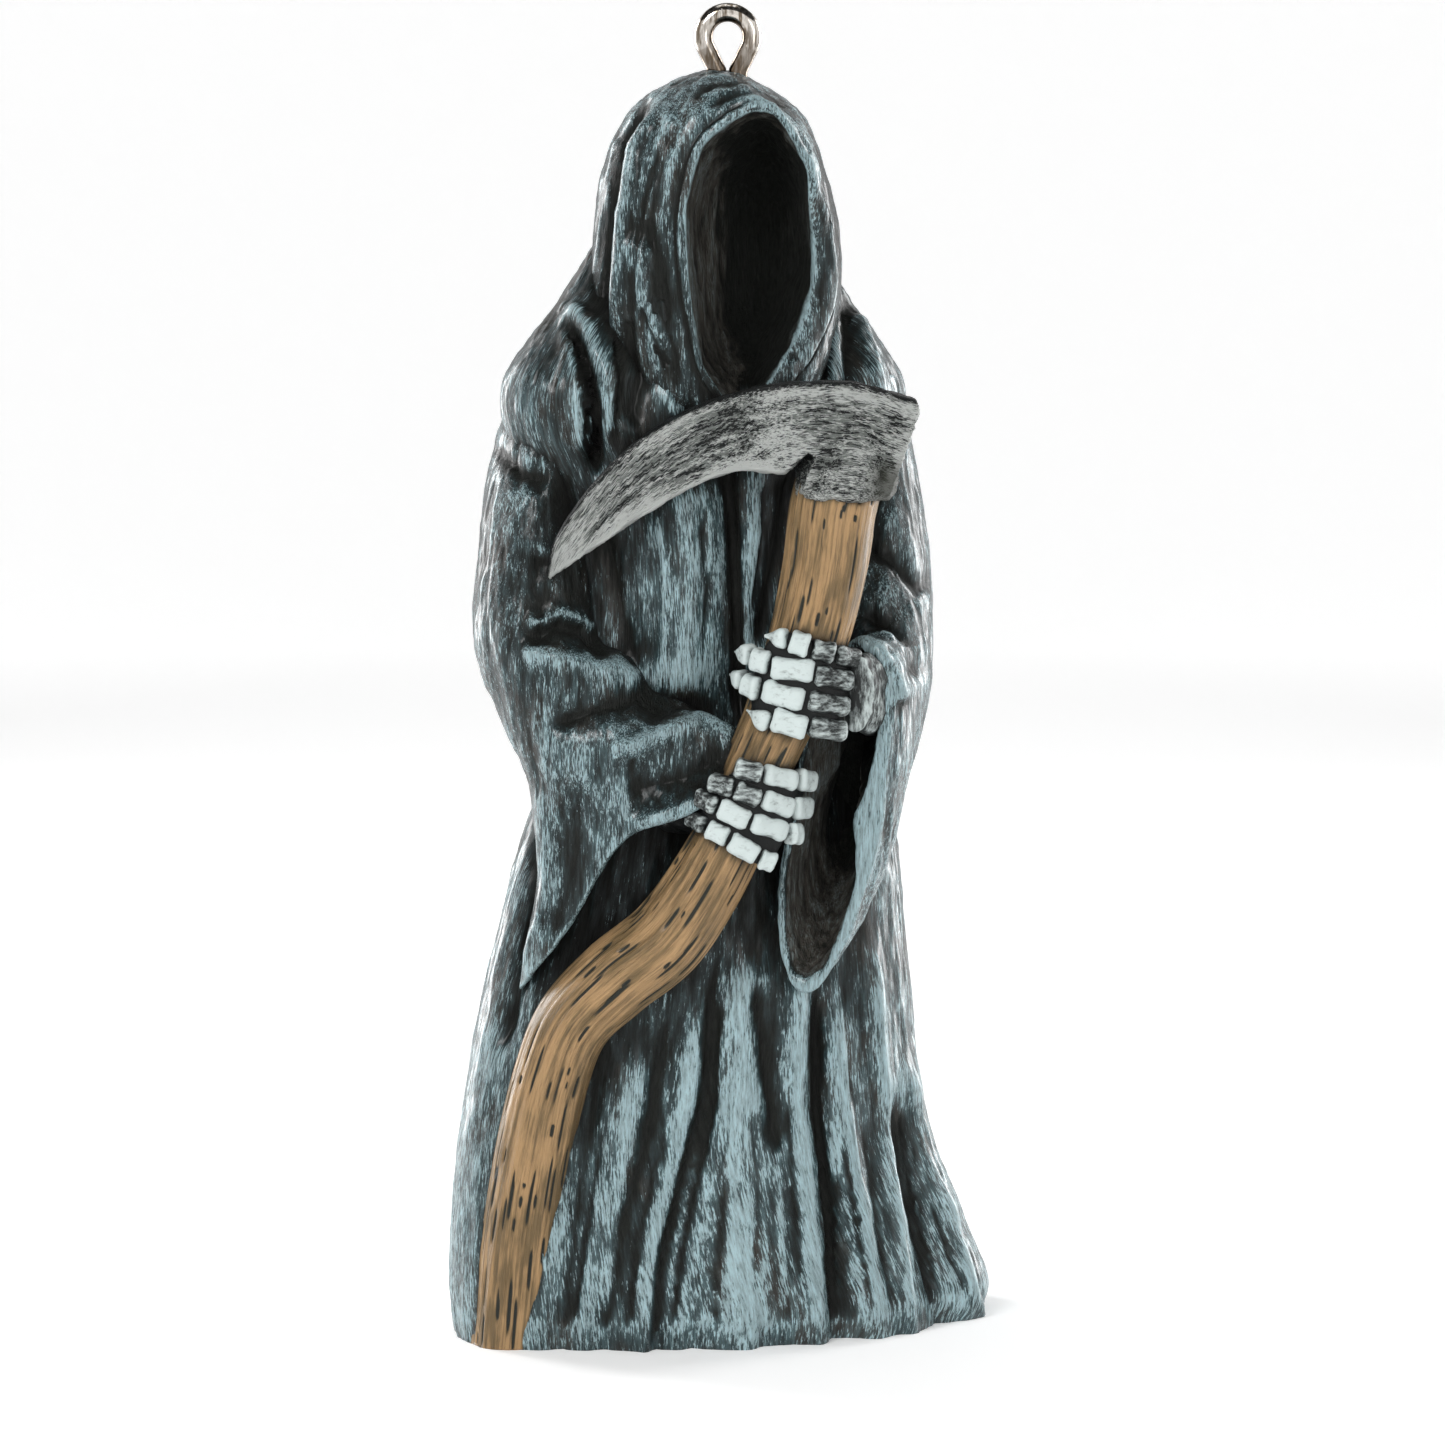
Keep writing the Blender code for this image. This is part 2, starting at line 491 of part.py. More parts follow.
def blade():
    """The scythe's blade: its outline drawn out to the depth of its backing, edges bevelled."""
    back = through(BLADE_BACK, np.linspace(0, len(BLADE_BACK) - 1, 15))
    edge = through(BLADE_EDGE, np.linspace(0, len(BLADE_EDGE) - 1, 9))
    outline = [tuple(p) for p in back] + BLADE_HEEL + [tuple(p) for p in edge]
    shape = bmesh.new()
    corners = []
    for x, z in outline:
        swell = min(max((x - BLADE_SWELL_FROM) / BLADE_SWELL_OVER, 0), 1)
        front = BLADE_FRONT + BLADE_LEAN * x - BLADE_SWELL * swell * swell * (3 - 2 * swell)
        corners.append(shape.verts.new((x * U, front * U, z * U)))
    face = shape.faces.new(corners)
    grown = bmesh.ops.extrude_face_region(shape, geom=[face])
    moved = [v for v in grown["geom"] if isinstance(v, bmesh.types.BMVert)]
    bmesh.ops.translate(shape, verts=moved, vec=(0, BLADE_BACKING * U, 0))
    front = [e for e in shape.edges if not any(v in moved for v in e.verts)]
    bmesh.ops.bevel(
        shape, geom=front, offset=BLADE_BEVEL * U, segments=1, affect="EDGES", clamp_overlap=True
    )
    mesh = bpy.data.meshes.new("blade")
    shape.to_mesh(mesh)
    shape.free()
    return finish_mesh("blade", mesh)


def ferrule():
    """The ring that holds the blade on the handle."""
    angles = np.linspace(0, 2 * np.pi, FERRULE_SIDES, endpoint=False)
    rings = []
    for x, y, z, wide, deep in FERRULE:
        level = np.full(FERRULE_SIDES, z)
        rings.append(np.stack([x + wide * np.cos(angles), y + deep * np.sin(angles), level], 1))
    return skin("ferrule", rings)


def finger(name, joints, first):
    """One finger's bones in a row: each is thicker at both ends, with a thin neck in between."""
    bones = len(joints) - 1
    profile = [(share, thick) for share, thick in first]
    for number in range(1, bones):
        profile += [(number + share, thick) for share, thick in BONE_PROFILE]
    profile.append((bones, BONE_PROFILE[0][1]))
    shares = [share for share, _ in profile]
    thicks = [thick for _, thick in profile]
    middles = through(joints, shares)
    paths = through(joints, np.minimum(np.array(shares) + 0.05, bones))
    paths -= through(joints, np.maximum(np.array(shares) - 0.05, 0))
    angles = np.linspace(0, 2 * np.pi, BONE_SIDES, endpoint=False)
    rings = []
    for middle, path, thick in zip(middles, paths, thicks):
        side = np.cross(path, (0.0, 0.0, 1.0))
        side /= np.linalg.norm(side)
        up = np.cross(side, path / np.linalg.norm(path))
        ring = np.outer(np.cos(angles), side) + np.outer(np.sin(angles), up)
        rings.append(middle + ring * BONE_RADIUS * thick)
    return skin(name, rings)


def hand(name, grip, fingers, first):
    """The fingers of one hand, each lying round the handle at its own depth."""
    middle, depth, reach = grip
    made = []
    for number, joints in enumerate(fingers, 1):
        places = []
        for x, z in joints:
            bow = math.sqrt(max(reach**2 - (x - middle) ** 2, 0.2))
            places.append((x, depth - bow, z))
        made.append(finger(f"{name}_finger_{number}", places, first))
    return made


def palm(name, stations):
    """The back of a hand, where its fingers meet in the mouth of the sleeve."""
    angles = np.linspace(0, 2 * np.pi, PALM_SIDES, endpoint=False)
    rings = []
    for x, y, z, wide, tall in stations:
        ring = (x + wide * np.cos(angles), np.full(PALM_SIDES, y), z + tall * np.sin(angles))
        rings.append(np.stack(ring, axis=1))
    return skin(name, rings)


def loop_path():
    """Points of the wire loop's middle line, from the foot of one leg to the foot of the other."""
    radius = (LOOP_WIDTH - WIRE_DIAMETER) / 2
    half_gap = (WIRE_DIAMETER + LEG_GAP) / 2
    crown = FIGURE_HEIGHT + LOOP_RISE - WIRE_DIAMETER / 2 - radius
    turns = np.linspace(-LOOP_CLOSING, math.pi + LOOP_CLOSING, LOOP_STEPS)
    arc = [(radius * math.cos(a), crown + radius * math.sin(a)) for a in turns]
    foot = FIGURE_HEIGHT - LEG_DEPTH
    throat = FIGURE_HEIGHT - LOOP_THROAT
    return [(half_gap, foot), (half_gap, throat)] + arc + [(-half_gap, throat), (-half_gap, foot)]


def hanging_loop(material):
    """The bright wire loop that the ornament hangs by."""
    curve = bpy.data.curves.new("hanging_loop", "CURVE")
    curve.dimensions = "3D"
    curve.bevel_depth = WIRE_DIAMETER / 2
    curve.bevel_resolution = 2
    curve.use_fill_caps = True
    line = curve.splines.new("POLY")
    path = loop_path()
    line.points.add(len(path) - 1)
    for point, (x, z) in zip(line.points, path):
        point.co = (x + LOOP_PLACE[0] * U, LOOP_PLACE[1] * U, z, 1.0)
    item = bpy.data.objects.new("hanging_loop", curve)
    bpy.context.collection.objects.link(item)
    curve.materials.append(material)
    return item


def socket_cutter():
    """The slot in the crown that takes the wire's two legs, as an upright prism."""
    reach = WIRE_DIAMETER / 2 + SOCKET_CLEARANCE
    half_gap = (WIRE_DIAMETER + LEG_GAP) / 2
    low = FIGURE_HEIGHT - LEG_DEPTH - SOCKET_CLEARANCE
    high = FIGURE_HEIGHT + LOOP_RISE
    angles = np.linspace(0, 2 * np.pi, SOCKET_SIDES, endpoint=False)
    x = LOOP_PLACE[0] * U + reach * np.cos(angles) + half_gap * np.sign(np.cos(angles) + 1e-9)
    y = LOOP_PLACE[1] * U + reach * np.sin(angles)
    rings = [np.stack([x, y, np.full(SOCKET_SIDES, z)], 1) / U for z in (low, high)]
    return skin("socket_cutter", rings)


def ground_cutter():
    """A block under the ground line, which leaves the casting's underside flat."""
    bpy.ops.mesh.primitive_cube_add(size=1.0)
    block = bpy.context.object
    block.name = "ground_cutter"
    side = FIGURE_HEIGHT
    block.scale = (side, side, side / 5)
    block.location = (0, 0, -side / 10)
    bpy.ops.object.transform_apply(location=True, rotation=False, scale=True)
    return block


def combine(base, other, operation, solver="EXACT"):
    """Adds the other form to the base, or cuts it away, and puts the other out of sight."""
    step = base.modifiers.new(other.name, "BOOLEAN")
    step.operation = operation
    step.solver = solver
    step.object = other
    other.hide_render = True
    other.display_type = "WIRE"


def combine_all(base, forms):
    """Joins a whole group of forms to the base in one step, and puts them out of sight.

    The bones graze one another, where the exact solver leaves open edges.
    """
    group = bpy.data.collections.new("cast_forms")
    bpy.context.scene.collection.children.link(group)
    for form in forms:
        bpy.context.collection.objects.unlink(form)
        group.objects.link(form)
        form.hide_render = True
        form.display_type = "WIRE"
    step = base.modifiers.new("cast_forms", "BOOLEAN")
    step.operation = "UNION"
    step.solver = "MANIFOLD"
    step.operand_type = "COLLECTION"
    step.collection = group


def paint(name, colour, roughness, metallic):
    """A plain material of one colour."""
    material = bpy.data.materials.new(name)
    material.use_nodes = True
    shader = material.node_tree.nodes["Principled BSDF"]
    shader.inputs["Base Color"].default_value = (*colour, 1.0)
    shader.inputs["Roughness"].default_value = roughness
    shader.inputs["Metallic"].default_value = metallic
    return material


def figure():
    """The whole casting: every form joined into one solid, cut flat below and bored above."""
    body = robe()
    body.name = "figure"
    combine(body, hood(), "UNION")
    combine(body, hood_void(), "DIFFERENCE", "MANIFOLD")
    forms = [
        sleeve("right_sleeve", RIGHT_SLEEVE, RIGHT_HEM_CUT, RIGHT_FOLDS),
        sleeve("left_sleeve", LEFT_SLEEVE, LEFT_HEM_CUT, LEFT_FOLDS),
        snath(),
        blade(),
        ferrule(),
        palm("upper_palm", UPPER_PALM),
        palm("lower_palm", LOWER_PALM),
    ]
    forms += hand("upper", UPPER_GRIP, UPPER_FINGERS, CLAW_PROFILE)
    forms += hand("lower", LOWER_GRIP, LOWER_FINGERS, BONE_PROFILE)
    combine_all(body, forms)
    combine(body, ground_cutter(), "DIFFERENCE")
    combine(body, socket_cutter(), "DIFFERENCE")
    body.data.materials.append(paint("painted_resin", (0.12, 0.15, 0.16), 0.55, 0.0))
    return body


def main():
    for item in list(bpy.data.objects):
        bpy.data.objects.remove(item)
    facing = bpy.data.objects.new("facing", None)
    bpy.context.collection.objects.link(facing)
    figure()
    hanging_loop(paint("bright_wire", (0.62, 0.58, 0.52), 0.2, 1.0))
    for item in bpy.data.objects:
        if item is not facing:
            item.parent = facing
    facing.rotation_euler = (0, 0, -TURN)


main()
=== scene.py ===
"""The looks of a hanging ornament: a hooded reaper cast in resin and dry-brushed by hand.

Each form is made from the same tables as the part's solids, only finer, and stands in their place.
The forms are set out as seen from the figure's right front, with x to the right, y away and z up,
in hundredths of the figure's height, and are then turned so that the figure faces -Y.
"""

import json
import math

import bpy
import numpy as np
from bpy.props import FloatProperty, FloatVectorProperty, IntProperty, PointerProperty
from bpy.types import Operator, Panel, PropertyGroup
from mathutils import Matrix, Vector
from mathutils.bvhtree import BVHTree

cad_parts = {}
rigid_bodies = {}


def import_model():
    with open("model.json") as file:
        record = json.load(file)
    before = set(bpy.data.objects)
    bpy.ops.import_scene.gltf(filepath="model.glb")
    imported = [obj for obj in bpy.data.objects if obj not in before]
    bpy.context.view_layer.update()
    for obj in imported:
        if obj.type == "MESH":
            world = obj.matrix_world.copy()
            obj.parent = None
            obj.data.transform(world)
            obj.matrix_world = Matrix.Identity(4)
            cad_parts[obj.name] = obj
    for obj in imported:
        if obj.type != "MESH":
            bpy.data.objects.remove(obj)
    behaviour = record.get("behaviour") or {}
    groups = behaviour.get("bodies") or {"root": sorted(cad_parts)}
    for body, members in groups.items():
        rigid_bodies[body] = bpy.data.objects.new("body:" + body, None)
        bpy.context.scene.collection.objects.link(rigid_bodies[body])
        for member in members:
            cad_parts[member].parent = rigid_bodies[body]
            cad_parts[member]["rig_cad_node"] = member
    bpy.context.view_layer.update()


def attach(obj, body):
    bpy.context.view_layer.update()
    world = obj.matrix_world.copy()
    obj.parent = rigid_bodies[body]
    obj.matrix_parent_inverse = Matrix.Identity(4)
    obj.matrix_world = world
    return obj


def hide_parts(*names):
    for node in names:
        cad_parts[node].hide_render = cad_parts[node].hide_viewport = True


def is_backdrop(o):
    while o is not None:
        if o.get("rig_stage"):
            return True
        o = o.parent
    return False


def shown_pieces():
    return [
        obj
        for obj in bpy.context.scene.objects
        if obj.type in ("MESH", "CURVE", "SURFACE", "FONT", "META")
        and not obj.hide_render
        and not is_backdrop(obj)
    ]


bl_info = {
    "name": "Reaper Ornament",
    "version": (1, 0, 0),
    "blender": (4, 5, 0),
    "location": "View3D > Sidebar > Ornament",
    "description": "Builds the cast and painted surface of a hooded reaper ornament",
    "category": "Object",
}

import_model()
BODY = "root"

# The casting's height, and the sculpt's unit: one hundredth of it.
FIGURE_HEIGHT = 0.100
U = FIGURE_HEIGHT / 100

# How far the body is turned from the side that the forms are set out on.
TURN = math.radians(15.0)
SHEAR_SHARE = 0.85
SHEAR = math.tan(TURN) * SHEAR_SHARE

# The robe: height, left, right, front and back reach, from under the hem to the neck.
ROBE = [
    (-1.5, -21.0, 21.0, 11.2, 11.2),
    (2.5, -21.6, 21.6, 11.4, 11.4),
    (8.0, -21.6, 19.4, 10.9, 11.1),
    (16.0, -20.9, 16.4, 10.2, 10.8),
    (26.0, -19.3, 15.2, 9.4, 10.4),
    (36.0, -16.9, 14.3, 8.8, 10.0),
    (46.0, -14.2, 13.2, 8.5, 9.8),
    (56.0, -13.4, 12.4, 8.7, 9.9),
    (66.0, -14.4, 12.6, 9.0, 10.3),
    (71.5, -17.0, 14.3, 9.0, 10.5),
    (75.5, -17.3, 14.4, 8.4, 10.0),
    (79.0, -15.2, 12.2, 7.0, 9.4),
    (81.5, -13.2, 10.4, 5.4, 9.0),
    (84.5, -11.3, 8.4, 3.6, 8.4),
    (88.0, -9.0, 6.5, 1.5, 7.4),
]
ROBE_SQUARENESS = 2.25
ROBE_CROWDING = 0.3

# How wide and how deep the brush's streaks are laid out round the robe.
ROBE_STREAKS = (16.0, 10.0)

# How far up the hem takes less paint, and how much less, so that it is darker towards the bottom.
HEM_REACH, HEM_DARKENING = 2.6, 1.4

# How much paint the dry brush left on the robe, from the hem up.
BRUSH_HEIGHTS = [0.0, 20.0, 30.0, 44.0, 52.0, 62.0, 70.0, 80.0]
BRUSH_LOADS = [0.4, 0.42, 0.16, 0.1, 0.36, 0.32, 0.05, -0.05]

# Painted shade on the skirt beside the scythe's handle: less paint is loaded there, so it is darker.
HANDLE_SHADE, HANDLE_SHADE_AT, HANDLE_SHADE_WIDTH, HANDLE_SHADE_TOP = 0.2, -8.0, 5.0, 34.0

# How far forward the neck of the robe may come at each height, so that the hood stays empty.
NECK_HEIGHTS = [73.4, 74.6, 76.0, 78.0, 81.0, 86.0, 90.0]
NECK_LIMITS = [-12.0, -7.6, -3.8, -1.2, 0.8, 2.4, 3.0]
NECK_MIDDLE, NECK_REACH, NECK_BLEND = 2.2, 6.3, 1.2

# Folds of the cloth, as they are seen from the front: half width, rise, and the (x, z) points
# of the line that each follows. A rise below zero is a groove.
ROBE_FOLDS = [
    (0.6, -1.2, (-5.6, -6.0), (-4.9, 6.2), (-2.9, 14.8), (-1.3, 20.1), (-0.5, 32.0)),
    (0.9, 0.8, (-6.4, -6.0), (-5.4, 7.7), (-3.1, 17.2), (-1.6, 28.0)),
    (1.4, -1.0, (-10.2, -6.0), (-7.9, 9.2), (-5.3, 18.7), (-4.1, 28.0)),
    (0.9, 0.5, (-9.4, 2.0), (-7.7, 13.6), (-6.3, 25.0)),
    (1.0, -0.9, (-13.2, -6.0), (-11.8, 7.7), (-10.8, 14.8), (-9.0, 26.0)),
    (2.3, 1.2, (1.7, -8.0), (1.7, 13.6), (1.7, 22.5), (1.1, 33.0)),
    (0.9, -1.2, (4.3, 14.6), (3.6, 20.1), (2.5, 29.0)),
    (1.3, 1.1, (8.0, -6.0), (6.8, 10.7), (5.7, 18.7), (5.6, 32.0)),
    (0.65, -1.2, (9.2, -6.0), (8.6, 9.2), (7.6, 17.8), (7.4, 30.0)),
    (1.3, -0.8, (10.5, -6.0), (9.8, 6.2), (9.0, 15.0)),
    (1.3, 0.9, (12.7, -6.0), (11.4, 7.7), (9.6, 18.1), (8.6, 30.0)),
    (0.8, 0.8, (15.4, -6.0), (14.0, 10.7), (12.5, 21.0), (11.4, 34.0)),
    (1.1, -1.4, (18.8, -4.0), (16.4, 6.7), (14.8, 12.7), (13.2, 20.0)),
    (0.8, 0.9, (21.8, -4.0), (18.8, 6.8), (16.4, 13.7), (14.6, 23.0)),
    (0.55, -0.8, (22.6, -4.0), (20.2, 5.2), (18.6, 9.0)),
    (0.7, -0.8, (-2.4, -3.0), (-2.2, 2.2)),
    (0.9, -0.8, (3.2, -3.0), (3.3, 2.2)),
    (0.7, -1.3, (-14.4, 46.0), (-15.1, 36.3), (-16.4, 28.6), (-17.9, 22.0)),
    (2.4, 1.5, (-3.4, 70.0), (-2.7, 61.3), (-3.2, 50.0)),
    (0.55, -1.1, (0.1, 72.0), (0.8, 62.6), (1.4, 48.0)),
    (1.0, 0.8, (2.7, 71.0), (2.5, 62.6), (1.5, 52.0)),
    (0.9, -1.0, (5.4, 70.0), (4.5, 63.8), (2.4, 54.0)),
    (1.4, -0.9, (-9.3, 65.0), (-8.3, 58.8), (-6.4, 53.0)),
    (1.1, 1.2, (-11.9, 82.5), (-10.3, 78.7), (-9.0, 76.3), (-8.7, 71.0)),
    (0.65, -1.5, (-12.1, 81.0), (-10.5, 76.8), (-9.9, 73.8), (-9.9, 68.0)),
    (0.6, 0.6, (-12.4, 80.5), (-11.4, 76.3), (-10.7, 70.0)),
    (0.8, -0.9, (-6.9, 81.0), (-6.3, 76.5), (-7.4, 72.0)),
    (0.6, 0.8, (-5.6, 78.5), (-4.1, 75.3), (-3.1, 73.0)),
    (0.9, -0.9, (-4.7, 78.6), (-2.6, 75.8), (0.4, 74.6)),
    (0.5, -0.8, (9.3, 82.3), (7.6, 79.2), (5.4, 75.3)),
    (0.5, -0.8, (9.8, 82.5), (10.1, 78.7), (10.0, 74.0)),
    (0.9, 0.6, (10.4, 81.5), (11.8, 77.9), (12.3, 73.5)),
]
# Finer creases, which are too slight for the solids.
ROBE_CREASES = [
    (0.3, -0.4, (-3.9, 1.0), (-3.3, 8.0), (-1.6, 15.0), (-0.2, 22.0)),
    (0.3, -0.35, (-0.6, 0.0), (-0.4, 7.0), (0.2, 14.0)),
    (0.35, 0.35, (0.9, 2.0), (0.9, 10.0), (0.7, 20.0)),
    (0.3, -0.35, (2.6, 4.0), (2.9, 12.0), (2.3, 20.0)),
    (0.35, 0.3, (4.9, 2.0), (4.6, 9.0), (4.0, 16.0)),
    (0.3, -0.4, (6.1, 4.0), (5.6, 12.0), (4.9, 20.0)),
    (0.3, -0.4, (-7.5, 1.0), (-6.6, 9.0), (-4.7, 17.0)),
    (0.3, -0.4, (-12.0, 1.0), (-10.6, 10.0), (-9.4, 18.0)),
    (0.3, -0.4, (13.9, 1.0), (12.4, 9.0), (11.2, 18.0)),
    (0.3, -0.35, (11.8, 10.0), (10.4, 20.0), (9.4, 30.0)),
    (0.3, -0.35, (17.4, 2.0), (15.4, 9.0), (14.0, 17.0)),
    (0.25, -0.4, (20.6, 0.5), (18.2, 5.5), (16.6, 10.0)),
    (0.3, 0.35, (-4.9, 66.0), (-4.4, 60.0), (-4.6, 53.0)),
    (0.3, -0.3, (-1.6, 66.0), (-1.2, 60.0), (-1.5, 54.0)),
    (0.3, -0.35, (3.5, 69.0), (3.2, 63.0), (2.2, 57.0)),
    (0.28, -0.9, (-11.9, 80.0), (-10.6, 76.6), (-10.0, 73.0), (-9.8, 68.5)),
    (0.28, -0.5, (-8.3, 80.0), (-7.6, 76.0), (-8.2, 72.0)),
    (0.25, -0.5, (-5.9, 77.6), (-4.6, 75.6), (-2.6, 74.6)),
    (0.28, -0.7, (0.2, 71.5), (0.9, 62.6), (1.5, 49.0)),
    (0.25, -0.4, (7.2, 80.6), (6.6, 77.6), (5.4, 75.2)),
    (0.25, -0.4, (8.4, 81.2), (8.5, 77.8), (7.9, 74.6)),
    (0.3, -0.5, (-4.0, 1.0), (-2.4, 12.0), (-0.9, 20.0), (-0.2, 28.0)),
    (0.3, -0.6, (9.2, 1.0), (8.5, 9.2), (7.5, 17.8), (7.3, 28.0)),
    (0.3, -0.5, (12.0, 1.0), (10.6, 9.0), (9.2, 17.0)),
]
HOOD_CREASES = [
    (0.3, -0.7, (-5.2, 98.4), (-7.7, 94.6), (-8.7, 88.7), (-9.4, 78.0)),
    (0.5, 0.45, (-4.9, 97.6), (-7.0, 94.0), (-7.9, 88.4), (-8.5, 79.0)),
    (0.3, -0.35, (-3.0, 93.5), (-4.2, 88.5), (-4.6, 83.0), (-3.6, 77.0)),
    (0.25, -0.3, (-4.4, 95.0), (-6.0, 90.0), (-7.0, 84.0), (-7.2, 78.0)),
    (0.25, -0.3, (-6.6, 82.0), (-5.0, 78.5), (-3.0, 75.5)),
    (0.3, -0.35, (-7.6, 81.0), (-6.9, 77.5), (-6.0, 74.6)),
    (0.3, -0.3, (-2.9, 97.6), (-0.6, 98.9), (2.4, 99.2), (5.2, 98.0)),
    (0.3, -0.35, (7.6, 92.0), (8.2, 88.0), (8.3, 84.0), (6.9, 80.2)),
]
HOOD_FOLDS = [
    (0.6, -1.1, (-5.0, 98.5), (-7.8, 94.6), (-8.8, 88.7), (-9.5, 80.0)),
    (0.5, 0.5, (-4.6, 98.0), (-7.1, 94.1), (-8.0, 88.7), (-8.6, 81.0)),
    (0.8, -0.4, (-3.9, 96.0), (-5.1, 90.8), (-6.2, 86.0)),
    (1.1, -0.8, (-5.9, 89.0), (-4.7, 82.9), (-3.1, 75.0)),
    (0.9, 0.4, (-7.1, 88.0), (-6.2, 82.5), (-3.9, 78.0)),
    (0.8, -0.5, (-1.6, 96.6), (0.7, 98.2), (2.5, 98.5), (5.8, 96.8)),
]
RIGHT_FOLDS = [
    (1.1, -1.1, (-14.0, 49.2), (-9.8, 50.8), (-6.2, 51.8), (-3.4, 49.6)),
    (0.9, 1.0, (-9.0, 47.2), (-5.2, 48.7), (-1.8, 49.6), (2.2, 47.9)),
    (1.4, -0.8, (-8.0, 44.3), (-3.4, 45.5), (1.0, 47.5)),
    (0.8, 0.6, (-7.5, 41.6), (-3.4, 43.2), (0.0, 44.6), (3.0, 47.0)),
    (0.8, -1.0, (-15.6, 55.6), (-12.7, 57.1), (-10.7, 56.6), (-8.4, 54.2)),
    (0.6, 0.6, (-15.6, 57.0), (-12.5, 58.1), (-9.2, 56.3)),
    (1.0, 0.7, (-16.2, 55.5), (-11.7, 54.3), (-8.3, 53.6), (-5.0, 52.4)),
    (0.7, -0.8, (-18.4, 70.8), (-16.0, 68.6), (-13.4, 68.2)),
    (1.2, -0.6, (-13.8, 63.0), (-14.7, 60.0), (-13.4, 57.0)),
    (1.0, 0.5, (-14.3, 45.0), (-13.7, 36.9), (-15.9, 28.5)),
    (1.2, -0.5, (-10.9, 46.0), (-11.6, 39.5), (-13.3, 32.5)),
]
LEFT_FOLDS = [
    (0.8, -0.9, (10.9, 63.0), (13.6, 61.6), (16.6, 58.6)),
    (0.7, -1.0, (10.4, 57.5), (13.2, 56.9), (14.8, 55.4), (16.0, 52.0)),
    (1.0, 0.7, (10.8, 55.0), (12.8, 54.2), (14.1, 50.7)),
    (1.0, -0.7, (12.9, 69.0), (12.0, 64.8), (12.0, 62.0)),
    (0.8, -0.5, (15.4, 55.0), (15.2, 47.0), (13.8, 38.5)),
]
# The share of a fold's length over which each of its ends fades out.
FOLD_FADE = 0.18
# How sharp the bottom of a groove and the top of a ridge are: 2 is round, 1 is a keen edge.
GROOVE_POWER, RIDGE_POWER = 1.25, 1.7
# How fast folds fade out where the surface turns from the front, and how far round they reach.
FACING_GAIN = 1.6
FACING_REACH = 0.25

# The tool's grain: the sizes of its coarse and its fine marks, and how deep the fine ones are.
GRAIN_COARSE, GRAIN_FINE, GRAIN_FINE_DEPTH = (1.1, 1.1, 4.6), (0.5, 0.5, 2.0), 0.8

# The pleats round the back of the skirt, how far up it they reach and how they sway with height.
BACK_PLEATS = 9
BACK_PLEAT_RISE = 0.9
BACK_PLEAT_TOP = 62.0
BACK_PLEAT_SWAY = 1.4
BACK_PLEAT_SWAY_RATE = 0.05
BACK_PLEAT_PHASE = 0.5
BACK_PLEAT_ONSET = 3.0

# The hood's two rims, each as points (x, depth, z) every 30 degrees from the viewer's right:
# its widest girth, and the edge of its mouth, with the width of the rim round the mouth.
HOOD_GIRTH = [
    (9.3, 0.6, 86.0), (8.3, 0.2, 91.4), (5.6, -0.6, 97.2), (-0.5, -1.4, 100.0),
    (-6.8, -1.6, 97.3), (-9.5, -1.7, 92.0), (-10.3, -2.0, 86.0), (-11.0, -1.4, 80.0),
    (-8.5, 0.0, 73.5), (-0.5, 0.6, 70.0), (7.0, 0.8, 73.5), (9.0, 0.6, 80.5),
]
HOOD_MOUTH = [
    (6.9, -6.7, 86.5), (6.6, -7.6, 89.4), (6.2, -8.4, 92.8), (3.3, -9.0, 96.6),
    (-1.1, -9.4, 94.4), (-2.6, -9.7, 90.2), (-2.7, -9.9, 86.5), (-2.3, -10.1, 82.0),
    (-1.4, -10.2, 77.0), (1.7, -10.0, 74.0), (4.9, -8.6, 78.2), (6.7, -6.8, 82.9),
]
HOOD_BACK = (-0.8, 10.0, 85.0)
HOOD_DEEPEST = (4.3, 0.6, 86.0)
HOOD_RIM = [2.0, 1.5, 1.0, 0.9, 0.9, 0.9, 0.9, 0.9, 0.9, 1.2, 2.3, 2.6]
HOOD_RIM_LEAD = 0.4
HOOD_BACK_ROUNDNESS = 0.8
HOOD_FRONT_ROUNDNESS = 0.9
HOOD_FRONT_SWEEP = 1.1
HOOD_POLE = 0.03

# Over how many rings the hood's folds fade out before its rim.
HOOD_FOLD_FADE = 10

# How much paint the dry brush left on the hood, and how much more it left on the brow, on the flap
# at the viewer's right and on the border of the rim, and less on the rim itself.
HOOD_LOAD, BROW_LOAD, FLAP_LOAD, BORDER_LOAD, RIM_LOSS = -0.36, 0.34, 0.12, 0.16, 0.25

# How many rings of the hood each of those reaches over.
BROW_REACH, FLAP_REACH, BORDER_AHEAD, BORDER_REACH = 16.0, 9.0, 8, 12.0

# The height from which the brow counts and the x from which the flap counts, with their fades.
BROW_FROM, BROW_FADE, FLAP_FROM, FLAP_FADE = 88, 6, 4, 3

# The paler edge of the rim, where more paint is laid: how strong it is and how many rings it reaches
# over.
RIM_PALENESS, RIM_PALENESS_REACH = 1.3, 1.3

# The linings: how much deeper their grain is, how far light lifts their load of paint, and the load
# where no light falls.
LINING_GRAIN = 1.6
HOOD_LINING_LIFT, HOOD_LINING_LOAD = 0.8, -0.36
SLEEVE_LINING_LIFT, SLEEVE_LINING_LOAD = 0.75, -0.34

# Light in the hood: the x that it reaches, how much further below the chin, the depth that it
# reaches, and the part under the crown, each with its fade, and how bright that part is.
LIGHT_REACH, LIGHT_REACH_FADE, CHIN_REACH, CHIN_TOP, CHIN_FADE = 1.5, 2.2, 2.0, 81, 5
LIGHT_DEPTH, LIGHT_DEPTH_FADE = 1.5, 4
CROWN_FROM, CROWN_FADE, CROWN_DEPTH, CROWN_DEPTH_FADE = 92.5, 2.0, 3.5, 3
CROWN_LIGHT = 0.9

